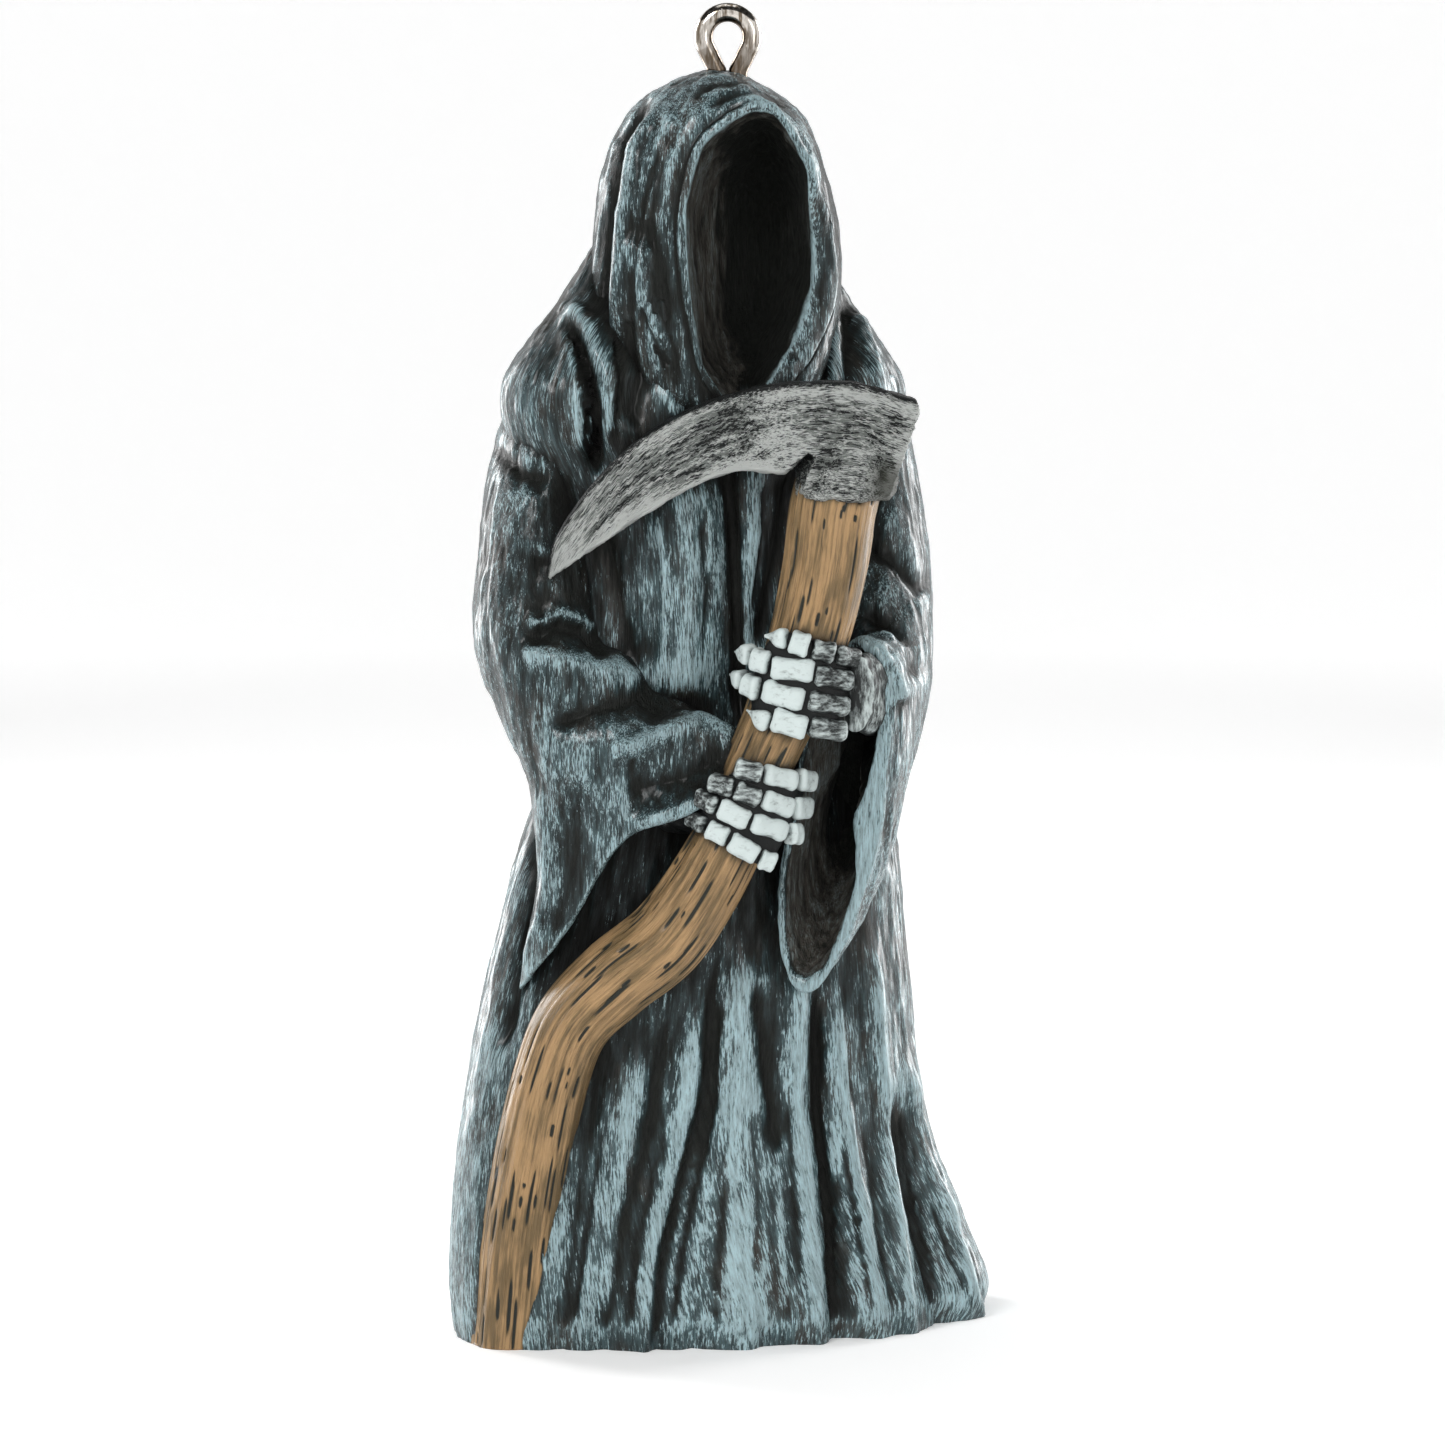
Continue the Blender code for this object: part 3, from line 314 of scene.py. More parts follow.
# A sleeve is a run of ovals: its middle, its long half axis and its short half axis.
RIGHT_SLEEVE = [
    ((-11.0, -1.0, 76.5), (4.8, 0.0, -0.5), (0.0, -5.6, 0.0)),
    ((-13.9, -2.6, 69.0), (4.5, 0.0, 0.0), (0.0, -6.4, 0.0)),
    ((-14.4, -4.2, 62.0), (4.9, 0.0, 0.4), (0.0, -6.6, 0.0)),
    ((-14.4, -5.4, 56.0), (5.1, 0.0, 1.0), (0.0, -6.6, 0.4)),
    ((-12.1, -7.2, 51.6), (5.2, 0.0, 2.5), (0.0, -6.3, 0.4)),
    ((-9.4, -8.9, 47.7), (5.8, 0.0, 3.4), (0.0, -5.6, 0.0)),
    ((-7.2, -10.1, 43.0), (7.2, -0.8, 6.0), (-0.4, -4.4, 0.4)),
    ((-6.7, -10.9, 37.5), (9.2, -1.8, 9.1), (-0.4, -3.9, 0.4)),
]
# Where a hem is cut back: at which angle, how far that spreads and how deep it is.
RIGHT_HEM_CUT = (92.0, 30.0, 0.6)
LEFT_SLEEVE = [
    ((9.3, 2.4, 76.0), (4.6, 0.0, 0.0), (0.0, -5.6, 0.0)),
    ((11.1, 2.6, 69.0), (4.3, 0.0, 0.0), (0.0, -6.2, 0.0)),
    ((12.0, 1.9, 62.5), (4.4, 0.0, 0.0), (0.0, -6.6, 0.0)),
    ((12.4, 0.2, 56.5), (4.3, 0.0, 0.0), (0.0, -6.4, 1.8)),
    ((12.3, -2.9, 51.0), (4.1, 0.2, 0.0), (0.5, -4.8, 5.4)),
    ((11.1, -6.6, 46.6), (4.1, -0.4, 0.0), (1.3, -2.8, 9.8)),
    ((9.9, -9.3, 43.6), (4.2, -1.0, 0.0), (1.9, -1.1, 12.4)),
    ((8.7, -11.2, 42.2), (3.7, -1.5, 0.3), (2.2, 0.0, 13.9)),
]
LEFT_HEM_CUT = (180.0, 40.0, 0.1)
SLEEVE_WALL = 0.9
SLEEVE_THICKENING = 0.8
SLEEVE_HOLLOW = 2.2
SLEEVE_LIP_ROUND = 0.45
# The paler hem of a sleeve: how much more paint it takes and how far that reaches.
SLEEVE_HEM_PALENESS, SLEEVE_HEM_REACH = 0.55, 5.0

# Where the hem of a sleeve is broadest, in degrees, how far that spreads and by how much, and the
# light on its lining: the x at which it starts, how wide it fades in and how bright it gets.
RIGHT_BROAD_HEM = (0.0, 40.0, 0.0, (0.0, 6.0, 0.35))
LEFT_BROAD_HEM = (-8.0, 62.0, 1.5, (12.0, 2.6, 0.95))

# How much paint the dry brush left on each sleeve: heights and loads.
RIGHT_LOADS = ([32.0, 42.0, 48.0, 54.0, 62.0, 76.0], [-0.06, 0.06, 0.08, -0.14, -0.18, -0.22])
LEFT_LOADS = ([30.0, 45.0, 55.0, 61.0, 76.0], [0.12, 0.12, 0.1, -0.04, -0.1])

# The scythe's handle: middle x, depth, height and half thickness.
SNATH = [
    (9.7, -12.2, 70.5, 3.2),
    (8.6, -12.4, 66.6, 3.3),
    (7.9, -12.6, 61.5, 3.2),
    (6.8, -12.7, 56.5, 3.1),
    (5.0, -12.8, 51.3, 2.9),
    (2.9, -12.9, 46.6, 2.7),
    (0.0, -12.9, 39.6, 2.9),
    (-4.0, -12.7, 33.2, 3.2),
    (-8.3, -12.3, 29.5, 3.2),
    (-11.6, -11.7, 26.0, 3.0),
    (-13.3, -11.2, 21.8, 2.95),
    (-14.6, -10.6, 16.0, 3.05),
    (-15.8, -9.7, 8.5, 3.1),
    (-16.7, -8.6, -1.5, 3.2),
]

# Its grain: the size of the marks, their seed and their depth; and the half thickness that the
# grain and the pores are laid out on.
SNATH_GRAIN = [((1.5, 1.5, 22.0), 41, 0.16), ((0.5, 0.5, 12.0), 43, 0.09)]
SNATH_RADIUS = 3.1

# The pores of the wood: half the greatest length, the square root of the shortest one's share of
# it, half the least and the greatest width, the depth, and how far from their middles they end.
PORE_LENGTH, PORE_SHORTEST, PORE_WIDTHS, PORE_DEPTH = 2.3, 0.3, (0.07, 0.16), 0.2
PORE_ENDS = 1.5

# The blade, seen from the front, and the ferrule that holds it on the handle.
BLADE_BACK = [(-13.5, 61.0), (-12.3, 65.0), (-6.3, 71.6), (1.6, 75.3), (9.4, 76.0), (14.9, 74.6)]
BLADE_HEEL = [(15.1, 73.6), (14.6, 72.2), (12.9, 67.3), (6.0, 67.7), (7.1, 70.4), (6.5, 70.6)]
BLADE_EDGE = [(4.8, 69.0), (0.9, 69.1), (-3.4, 67.3), (-8.0, 64.5), (-13.3, 60.9)]
BLADE_FRONT = -13.4
BLADE_BACKING = 3.4
BLADE_LEAN = 0.07
BLADE_SWELL = 2.5
BLADE_SWELL_FROM, BLADE_SWELL_OVER = -2.0, 9.0

# The blade's dents, by size and depth, and how its form is smoothed once it is run together.
BLADE_DENTS, BLADE_DENT_DEPTH = (0.36, 0.6, 1.7), 0.13
BLADE_EASE, BLADE_EASE_ROUNDS = 0.5, 7

# The brighter cutting edge and the darker back of the blade: how strong each is and how far in.
KEEN_LIGHT, KEEN_WIDTH = 1.4, 0.3
BACK_SHADE, BACK_WIDTH = 1.5, 0.35

# Where the bare socket starts and how wide it fades in, from the left and from above.
SOCKET_FROM, SOCKET_FADE, SOCKET_TOP, SOCKET_DROP = 10.2, 2.2, 70.6, 2.0
FERRULE = [
    (9.35, -12.3, 66.9, 3.5, 3.5),
    (9.4, -12.3, 67.3, 3.95, 3.9),
    (9.7, -12.2, 69.6, 3.95, 3.9),
    (10.3, -11.9, 72.6, 3.7, 3.4),
    (10.8, -11.5, 75.0, 3.0, 2.4),
]

# Fingers of the upper hand (the left) and the lower hand (the right). Each bone runs from one
# (x, z) to the next, and its depth follows the grip round the handle.
UPPER_GRIP = (5.7, -11.5, 4.95)
UPPER_FINGERS = [
    [(3.2, 56.7), (5.05, 56.4), (6.75, 55.8), (8.6, 55.2), (10.3, 54.6)],
    [(0.9, 55.3), (2.3, 54.9), (3.7, 54.5), (7.05, 53.7), (9.9, 52.9)],
    [(0.5, 53.4), (1.7, 52.9), (2.95, 52.4), (6.45, 51.8), (9.7, 51.0)],
    [(1.8, 50.6), (3.75, 50.1), (6.6, 49.7), (9.5, 49.2)],
]
UPPER_DARK = [(2, 3), (3,), (3,), (2,)]
LOWER_GRIP = (1.6, -11.5, 4.95)
LOWER_FINGERS = [
    [(0.9, 46.65), (3.05, 45.9), (5.7, 45.3), (6.9, 45.0)],
    [(-1.0, 45.5), (0.9, 44.85), (2.95, 44.0), (5.4, 43.25), (6.6, 42.8)],
    [(-2.0, 44.2), (-0.3, 43.5), (2.1, 42.3), (5.0, 41.4), (6.0, 40.9)],
    [(-2.6, 42.6), (-1.2, 41.8), (0.5, 41.0), (2.8, 39.5), (4.0, 39.0)],
]
LOWER_DARK = [(0,), (0, 1), (0,), (0,)]
UPPER_WIDTH, LOWER_WIDTH = 1.0, 0.9

# A bone: how square it is, how its ends round off, its waist, its flare and its depth to its width.
BONE_SQUARENESS = 3.2
BONE_END_POWER, BONE_END_LOSS = 7, 0.32
BONE_WAIST, BONE_FLARE, BONE_DEPTH = 0.88, 0.16, 0.85
CLAW_POINT, CLAW_GAIN, CLAW_TAPER = 0.12, 0.88, 0.75

# How far the bones differ from one another in heading and in size, and how deep their dents are.
BONE_TILT, BONE_SPREAD = 0.07, (0.93, 1.03)
CHIP_SIZE, CHIP_DEPTH = 0.8, 0.09

# How wide claws and dark knuckles are to a bone, and how dark claws, webs and backs of hands are; the
# webs' darkness is painted shade.
CLAW_WIDTH, KNUCKLE_WIDTH = 0.86, 0.92
CLAW_TARNISH, WEB_SHADE, PALM_TARNISH = 0.25, 1.6, 1.1

# The web behind the bones, a dark sheet that paints the shade in the gaps between them: how square it
# is, how far in it lies and how far past the fingers.
WEB_SQUARENESS, WEB_END_POWER, WEB_BACKING, WEB_MARGIN = 3.0, 6, 0.45, 0.55 / 3.2

# The least depth, squared, of the bow of a finger round the handle, and the depth of the lumps on
# the backs of the hands.
LEAST_BOW = 0.2
PALM_LUMPS = 0.16
UPPER_PALM = [
    (11.6, -9.5, 51.6, 1.7, 3.3),
    (11.2, -12.4, 51.8, 1.7, 3.2),
    (10.3, -14.2, 52.0, 1.3, 2.9),
]
LOWER_PALM = [
    (-3.6, -9.0, 42.6, 2.6, 2.2),
    (-1.6, -12.0, 43.4, 2.5, 2.3),
    (-0.7, -13.8, 43.8, 1.7, 1.8),
]

# The wire loop.
LOOP_PLACE = (0.4, -1.6)
LOOP_CLOSING = math.radians(28.0)
LOOP_STEPS = 90
LEG_GAP = 0.00015
LEG_DEPTH = 0.0055
LOOP_THROAT = 0.0001

# The spreads, in mm, over which a ridge is told from its surroundings, and their weights.
CLOTH_SCALES = [(0.4, 7.0), (1.6, 2.0)]
HAND_SCALES = [(0.3, 5.0)]
RIDGE_LIMIT = 1.2

OPEN_RAYS, OPEN_RAYS_QUICK, OPEN_REACH, OPEN_START = 7, 3, 6, 0.05
OPEN_SPREAD, OPEN_SEED, OPEN_ROUNDS = 0.98, 3, 8

# The seed of the random marks on each form.
SEEDS = {
    "robe": 11, "hood": 23, "right_sleeve": 31, "left_sleeve": 37,
    "pores": 5, "blade": 61, "bones": 91, "palms": 77,
}

# How finely each form is cut.
ROBE_AROUND, ROBE_UP = 480, 196
HOOD_AROUND, HOOD_BEHIND, HOOD_BEFORE, HOOD_LIP, HOOD_INSIDE = 300, 70, 56, 12, 60
SLEEVE_AROUND, SLEEVE_ALONG, SLEEVE_LIP, SLEEVE_INSIDE = 240, 170, 10, 60
SNATH_AROUND, SNATH_ALONG = 150, 330
BLADE_VOXEL = 0.14
BLADE_BACK_STEPS, BLADE_EDGE_STEPS, FERRULE_AROUND = 40, 26, 40
BLADE_BACK_FINE, BLADE_EDGE_FINE = 200, 160
BONE_AROUND, BONE_ALONG = 24, 14
WEB_AROUND, WEB_ALONG = 48, 60
PALM_AROUND, PALM_ALONG = 64, 50
WIRE_SIDES = 40

# Where the photograph's camera stands, in sculpt units before the figure is turned.
CAMERA_PLACE = (0.0, -450.0, 95.0)
CAMERA_AIM = (0.0, 0.0, 48.3)
CAMERA_SENSOR = 36.0
CAMERA_LENS = 141.4

# The lamps, in sculpt units: name, place, what it is aimed at, width, height and power in watts.
LAMPS = [
    ("key", (-190, -360, 330), (0, 0, 60), 150, 150, 1.15),
    ("fill", (250, -420, 160), (0, 0, 50), 150, 240, 0.22),
    ("left_strip", (-300, 230, 70), (0, 0, 50), 110, 400, 2.1),
    ("right_strip", (300, 230, 70), (0, 0, 50), 110, 400, 1.8),
    ("top", (0, 60, 480), (0, 0, 50), 260, 260, 0.25),
]
SURROUND_STRENGTH = 0.05

# The white sweep: the radii of its flat rings, then the round part up to its rim, its own faint
# glow, and the radius at which that starts to grow from the first share to the second.
SWEEP_FLAT = [0.0, 150.0, 300.0, 450.0, 600.0, 700.0]
SWEEP_ROUND, SWEEP_STEPS, SWEEP_AROUND = 1300, 14, 96
SWEEP_WHITE, SWEEP_GLOW = 0.85, 0.62
SWEEP_NEAR, SWEEP_FAR = 0.4, 1.0
SWEEP_GROWS_FROM, SWEEP_GROWS_OVER = 200, 430


class OrnamentSizes(PropertyGroup):
    """Sizes of the ornament that can be changed by hand."""

    wire: FloatProperty(
        name="Wire", description="Thickness of the loop's wire", default=0.0015, unit="LENGTH"
    )
    loop_width: FloatProperty(
        name="Loop width", description="Width over the wire loop", default=0.0053, unit="LENGTH"
    )
    loop_rise: FloatProperty(
        name="Loop rise", description="Height of the loop over the crown", default=0.0052, unit="LENGTH"
    )
    bone_width: FloatProperty(
        name="Bone width", description="Width of a finger bone", default=0.00205, unit="LENGTH"
    )
    bone_gap: FloatProperty(
        name="Bone gap", description="Dark gap between two bones", default=0.00022, unit="LENGTH"
    )
    cloth_grain: FloatProperty(
        name="Cloth grain", description="Depth of the tooled grain", default=0.0001, unit="LENGTH"
    )
    pores: IntProperty(
        name="Pores", description="Short dark pores cut in the wooden handle", default=420, min=0
    )


def colour(name, words, red, green, blue):
    """A colour that can be changed by hand."""
    return FloatVectorProperty(
        name=name, description=words, subtype="COLOR", size=3, min=0, max=1,
        default=(red, green, blue),
    )


class OrnamentPaints(PropertyGroup):
    """The paints, from the darkest wash to the last dry-brushed highlight."""

    # The wash is real dark paint, and it is also laid where the openness is low as painted shade in the
    # recesses.
    wash: colour("Wash", "Near-black wash in the recesses", 0.006, 0.0055, 0.005)
    umber: colour("Umber", "Dark grey under-colour of the cloth", 0.023, 0.0255, 0.0225)
    dust: colour("Dust", "Grey-brown of the linings and the duller folds", 0.080, 0.073, 0.061)
    lining: colour("Lining", "Lighter brown-grey where light reaches a lining", 0.20, 0.178, 0.150)
    slate: colour("Slate", "Blue-grey body colour of the cloth", 0.039, 0.073, 0.080)
    mist: colour("Mist", "Pale blue-grey dry brush on the folds", 0.166, 0.280, 0.305)
    # Frost: the last dry-brushed touches, which also stand for painted glints on the ridges.
    frost: colour("Frost", "Near-white last touches on the ridges", 0.57, 0.79, 0.84)
    oak: colour("Oak", "Body colour of the wooden handle", 0.172, 0.115, 0.053)
    amber: colour("Amber", "Lighter, more orange wood", 0.44, 0.275, 0.130)
    pore: colour("Pore", "Grey-green colour in the pores of the wood", 0.022, 0.024, 0.018)
    bone: colour("Bone", "Off-white of the finger bones", 0.54, 0.61, 0.60)
    pewter: colour("Pewter", "Dark silver of the knuckles and the blade's wash", 0.014, 0.016, 0.016)
    silver: colour("Silver", "Dry-brushed silver of the blade", 0.24, 0.262, 0.245)
    gleam: colour("Gleam", "Brightest drags of silver", 0.86, 0.89, 0.86)
    socket: colour("Socket", "Grey-green metal of the blade's socket", 0.065, 0.068, 0.052)
    # Painted shade: near-black in the gaps between the bones and on the web behind them.
    gap_shade: colour("Soot", "Black between and behind the finger bones", 0.004, 0.005, 0.005)
    nickel: colour("Nickel", "Plating of the wire loop", 0.66, 0.62, 0.57)
    # Painted reflection: brown streaks along the wire.
    drag: colour("Drag", "Brown drag marks along the wire", 0.16, 0.125, 0.09)
    shade: colour("Shade", "Dark brown on the wire's inner side", 0.09, 0.066, 0.045)


# Curves, lofts and relief.


def through(stations, at):
    """The smooth curve through the stations, read at positions counted in stations."""
    rows = np.array(stations, float).reshape(len(stations), -1)
    slopes = np.gradient(rows, axis=0)
    at = np.asarray(at, float)
    low = np.clip(at.astype(int), 0, len(rows) - 2)
    share = (at - low)[:, None]
    cubed, squared = share**3, share**2
    return (
        (2 * cubed - 3 * squared + 1) * rows[low]
        + (cubed - 2 * squared + share) * slopes[low]
        + (3 * squared - 2 * cubed) * rows[low + 1]
        + (cubed - squared) * slopes[low + 1]
    )


def open_curve(stations, count):
    """The smooth curve through the stations, as this many points."""
    return through(stations, np.linspace(0, len(stations) - 1, count))


def closed_curve(points, count):
    """A smooth closed curve through the points, as this many points."""
    looped = [points[-1]] + list(points) + [points[0], points[1]]
    return through(looped, np.linspace(1, len(points) + 1, count, endpoint=False))


def full_turn(count):
    """Angles once round."""
    return np.linspace(0, 2 * np.pi, count, endpoint=False)


def smooth_step(share):
    """From 0 to 1, gently at both ends."""
    share = np.clip(share, 0, 1)
    return share * share * (3 - 2 * share)


def bell(distance, width):
    """1 at no distance, fading away over about this width."""
    return np.exp(-((distance / width) ** 2))


def turn_between(angles, middle):
    """How far each angle is from the middle, the short way round."""
    return np.angle(np.exp(1j * (angles - middle)))


def oval(angles, squareness=2.0):
    """Cosine and sine of the angles, drawn out towards a square as squareness grows."""
    power = 2.0 / squareness
    cosines, sines = np.cos(angles), np.sin(angles)
    return (
        np.sign(cosines) * np.abs(cosines) ** power,
        np.sign(sines) * np.abs(sines) ** power,
    )


def relief(points, folds):
    """How far the folds raise or sink each point, by its distance from each fold's line."""
    x, z = points[..., 0], points[..., 2]
    total = np.zeros_like(x)
    for half_width, rise, *path in folds:
        path = np.array(path)
        lengths = np.hypot(*np.diff(path, axis=0).T)
        nearest, place, before = np.full_like(x, np.inf), np.zeros_like(x), 0.0
        for (x0, z0), (x1, z1), length in zip(path, path[1:], lengths):
            share = ((x - x0) * (x1 - x0) + (z - z0) * (z1 - z0)) / length**2
            share = np.clip(share, 0, 1)
            gap = np.hypot(x - x0 - share * (x1 - x0), z - z0 - share * (z1 - z0))
            closer = gap < nearest
            nearest = np.where(closer, gap, nearest)
            place = np.where(closer, before + share * length, place)
            before += length
        ends = np.minimum(place, before - place) / (before * FOLD_FADE)
        power = GROOVE_POWER if rise < 0 else RIDGE_POWER
        total += rise * np.exp(-((nearest / half_width) ** power)) * smooth_step(ends)
    return total


def outward(rings):
    """The direction out of the surface at each point of a run of rings."""
    around = np.roll(rings, -1, axis=1) - np.roll(rings, 1, axis=1)
    along = np.gradient(rings, axis=0)
    normals = np.cross(along, around)
    normals /= np.linalg.norm(normals, axis=2, keepdims=True) + 1e-9
    middles = rings.mean(axis=1, keepdims=True)
    inward = ((rings - middles) * normals).sum(axis=2, keepdims=True) < 0
    return np.where(inward, -normals, normals)


def folded(rings, folds):
    """The rings with their folds, which fade out where the surface turns from the front."""
    normals = outward(rings)
    facing = np.clip(-normals[..., 1] * FACING_GAIN + FACING_REACH, 0, 1)
    return rings + normals * (relief(rings, folds) * facing)[..., None]


def lattice(cells, seed):
    """A repeatable random number from 0 to 1 for each cell of a lattice."""
    mixed = cells[..., 0] * 374761393 + cells[..., 1] * 668265263 + cells[..., 2] * 1440662683
    mixed = (mixed + seed * 97531) & 0x7FFFFFFF
    mixed = ((mixed ^ (mixed >> 13)) * 1274126177) & 0x7FFFFFFF
    return ((mixed ^ (mixed >> 16)) & 0xFFFF) / 0xFFFF


def hills(points, size, seed, octaves=3):
    """Smooth random hills and hollows from about -1 to 1, of about this size."""
    total, weight = np.zeros(points.shape[:-1]), 1.0
    for octave in range(octaves):
        place = points / (np.asarray(size, float) / 2**octave)
        low = np.floor(place).astype(np.int64)
        share = smooth_step(place - low)
        value = np.zeros(points.shape[:-1])
        for corner in np.ndindex(2, 2, 2):
            part = np.prod(np.where(np.array(corner) == 1, share, 1 - share), axis=-1)
            value += lattice(low + np.array(corner), seed + octave) * part
        total += (value * 2 - 1) * weight
        weight *= 0.5
    return total


def tooled(rings, depth, seed):
    """The rings with the grain that the sculptor's tool left, drawn out from top to bottom."""
    coarse = hills(rings, GRAIN_COARSE, seed, 2)
    fine = hills(rings, GRAIN_FINE, seed + 7, 2)
    return rings + outward(rings) * ((coarse + fine * GRAIN_FINE_DEPTH) * depth)[..., None]


# Meshes.


def turned(points):
    """Sculpt units, as seen from the photograph's side, into metres in the part's own frame."""
    points = np.asarray(points, float).reshape(-1, 3) * U
    cosine, sine = math.cos(-TURN), math.sin(-TURN)
    x, y = points[:, 0], points[:, 1]
    return np.stack([x * cosine - y * sine, x * sine + y * cosine, points[:, 2]], axis=1)


def add_layer(mesh, name, values):
    """A number or a vector for each point of a mesh, which its material reads."""
    values = np.asarray(values, np.float32)
    kind, key = ("FLOAT", "value") if values.ndim == 1 else ("FLOAT_VECTOR", "vector")
    layer = mesh.attributes.get(name) or mesh.attributes.new(name, kind, "POINT")
    layer.data.foreach_set(key, values.ravel())


def new_object(name, mesh):
    """An object of this mesh, smooth shaded, in the scene."""
    mesh.shade_smooth()
    item = bpy.data.objects.new(name, mesh)
    bpy.context.scene.collection.objects.link(item)
    return item


def read_rows(items, key, width, kind=np.float32):
    """One property of all these items of a mesh, as rows of this width."""
    values = np.empty(len(items) * width, kind)
    items.foreach_get(key, values)
    return values.reshape(-1, width)


def mesh_points(mesh):
    """The points of a mesh as an array."""
    return read_rows(mesh.vertices, "co", 3).astype(float)


def mesh_normals(mesh):
    """The normal at each point of a mesh."""
    return read_rows(mesh.vertices, "normal", 3).astype(float)


def mesh_triangles(mesh):
    """The corners of each triangle of a mesh."""
    mesh.calc_loop_triangles()
    return read_rows(mesh.loop_triangles, "vertices", 3, np.int32)


def signed_volume(mesh):
    """Six times the volume inside a mesh, below zero if its faces point in."""
    a, b, c = mesh_points(mesh)[mesh_triangles(mesh)].transpose(1, 0, 2)
    return float((a * np.cross(b, c)).sum())


def fix_winding(mesh):
    """Turns the faces of a closed mesh so that they all point out."""
    tidy = bpy.data.objects.new("winding", mesh)
    bpy.context.scene.collection.objects.link(tidy)
    bpy.context.view_layer.objects.active = tidy
    tidy.select_set(True)
    bpy.ops.object.mode_set(mode="EDIT")
    bpy.ops.mesh.select_all(action="SELECT")
    bpy.ops.mesh.normals_make_consistent(inside=False)
    bpy.ops.object.mode_set(mode="OBJECT")
    bpy.data.objects.remove(tidy)
    if signed_volume(mesh) < 0:
        mesh.flip_normals()


def tube_faces(count, around):
    """The faces between this many rings, each of this many points."""
    row, column = np.meshgrid(np.arange(count - 1), np.arange(around), indexing="ij")
    after = (column + 1) % around
    here, above = row * around, (row + 1) * around
    quads = np.stack([here + column, here + after, above + after, above + column], axis=-1)
    return quads.reshape(-1, 4).tolist()


def pole_faces(count, around):
    """The fans that close this many rings at two poles, whose points follow those of the rings."""
    faces = []
    for first, pole in ((0, count * around), ((count - 1) * around, count * around + 1)):
        faces += [(first + c, first + (c + 1) % around, pole) for c in range(around)]
    return faces


def with_poles(rings):
    """The points of the rings, and then the middles of the first and the last ring."""
    ends = [rings[0].mean(axis=0), rings[-1].mean(axis=0)]
    return np.concatenate([rings.reshape(-1, 3), ends])


def closed_mesh(name, points, faces):
    """A mesh of these points and faces, with all its faces turned outwards."""
    mesh = bpy.data.meshes.new(name)
    mesh.from_pydata(points.tolist(), [], faces)
    fix_winding(mesh)
    return mesh


def loft(name, rings, grain, layers):
    """A closed piece through rings of points, with its grain coordinates and paint layers."""
    count, around = rings.shape[:2]
    faces = tube_faces(count, around) + pole_faces(count, around)
    mesh = closed_mesh(name, turned(with_poles(rings)), faces)
    add_layer(mesh, "grain", with_poles(grain))
    for layer, values in layers.items():
        values = np.broadcast_to(values, rings.shape[:2])
        ends = [values[0].mean(), values[-1].mean()]
        add_layer(mesh, layer, np.concatenate([values.ravel(), ends]))
    return new_object(name, mesh)


def settle(piece, material, node="figure"):
    """Gives a finished piece its paint and its place in the part."""
    piece.data.materials.clear()
    piece.data.materials.append(material)
    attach(piece, BODY)
    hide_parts(node)
    return piece


def evaluated_copy(item, name):
    """A plain mesh object of an item with its modifiers applied; the item itself is removed."""
    bpy.context.view_layer.update()
    graph = bpy.context.evaluated_depsgraph_get()
    mesh = bpy.data.meshes.new_from_object(item.evaluated_get(graph))
    bpy.data.objects.remove(item)
    mesh.name = name
    return new_object(name, mesh)


# Shader node groups.


class Board:
    """A node tree with short calls for adding nodes and joining them."""

    def __init__(self, tree):
        self.tree = tree

    def add(self, kind, **settings):
        node = self.tree.nodes.new(kind)
        for key, value in settings.items():
            setattr(node, key, value)
        return node

    def place(self, kind, inputs, **settings):
        """Adds a node, feeds its named inputs and gives its outputs."""
        node = self.add(kind, **settings)
        for name, value in inputs.items():
            self.feed(node.inputs[name], value)
        return node.outputs

    def feed(self, socket, value):
        """Joins a socket to this one, or sets it where a plain value is given."""
        if isinstance(value, bpy.types.NodeSocket):
            self.tree.links.new(value, socket)
        else:
            socket.default_value = value

    def math(self, operation, first, second=0.0, third=0.0, clamp=False):
        node = self.add("ShaderNodeMath", operation=operation, use_clamp=clamp)
        for socket, value in zip(node.inputs, (first, second, third)):
            self.feed(socket, value)
        return node.outputs[0]

    def step(self, value, low, high):
        """From 0 at low to 1 at high, gently at both ends."""
        node = self.add("ShaderNodeMapRange", interpolation_type="SMOOTHSTEP")
        for socket, given in zip(node.inputs, (value, low, high)):
            self.feed(socket, given)
        return node.outputs[0]

    def mix(self, share, first, second, blend="MIX"):
        node = self.add("ShaderNodeMix", data_type="RGBA", blend_type=blend)
        self.feed(node.inputs[0], share)
        self.feed(node.inputs[6], first)
        self.feed(node.inputs[7], second)
        return node.outputs[2]

    def layer(self, name, kind="Fac"):
        """A layer of the mesh, as a number or as a vector."""
        return self.add("ShaderNodeAttribute", attribute_name=name).outputs[kind]

    def stretch(self, vector, across, along):
        """The vector shrunk by these lengths, so that noise on it is drawn out along z."""
        node = self.add("ShaderNodeVectorMath", operation="DIVIDE")
        joined = self.add("ShaderNodeCombineXYZ")
        for socket, value in zip(joined.inputs, (across, across, along)):
            self.feed(socket, value)
        self.feed(node.inputs[0], vector)
        self.feed(node.inputs[1], joined.outputs[0])
        return node.outputs[0]

    def noise(self, vector, scale=1.0, detail=4.0, roughness=0.6):
        inputs = {"Vector": vector, "Scale": scale, "Detail": detail, "Roughness": roughness}
        return self.place("ShaderNodeTexNoise", inputs)[0]


NUMBER, VECTOR, WHOLE = "NodeSocketFloat", "NodeSocketVector", "NodeSocketInt"
GEOMETRY, OBJECT, MATERIAL = "NodeSocketGeometry", "NodeSocketObject", "NodeSocketMaterial"


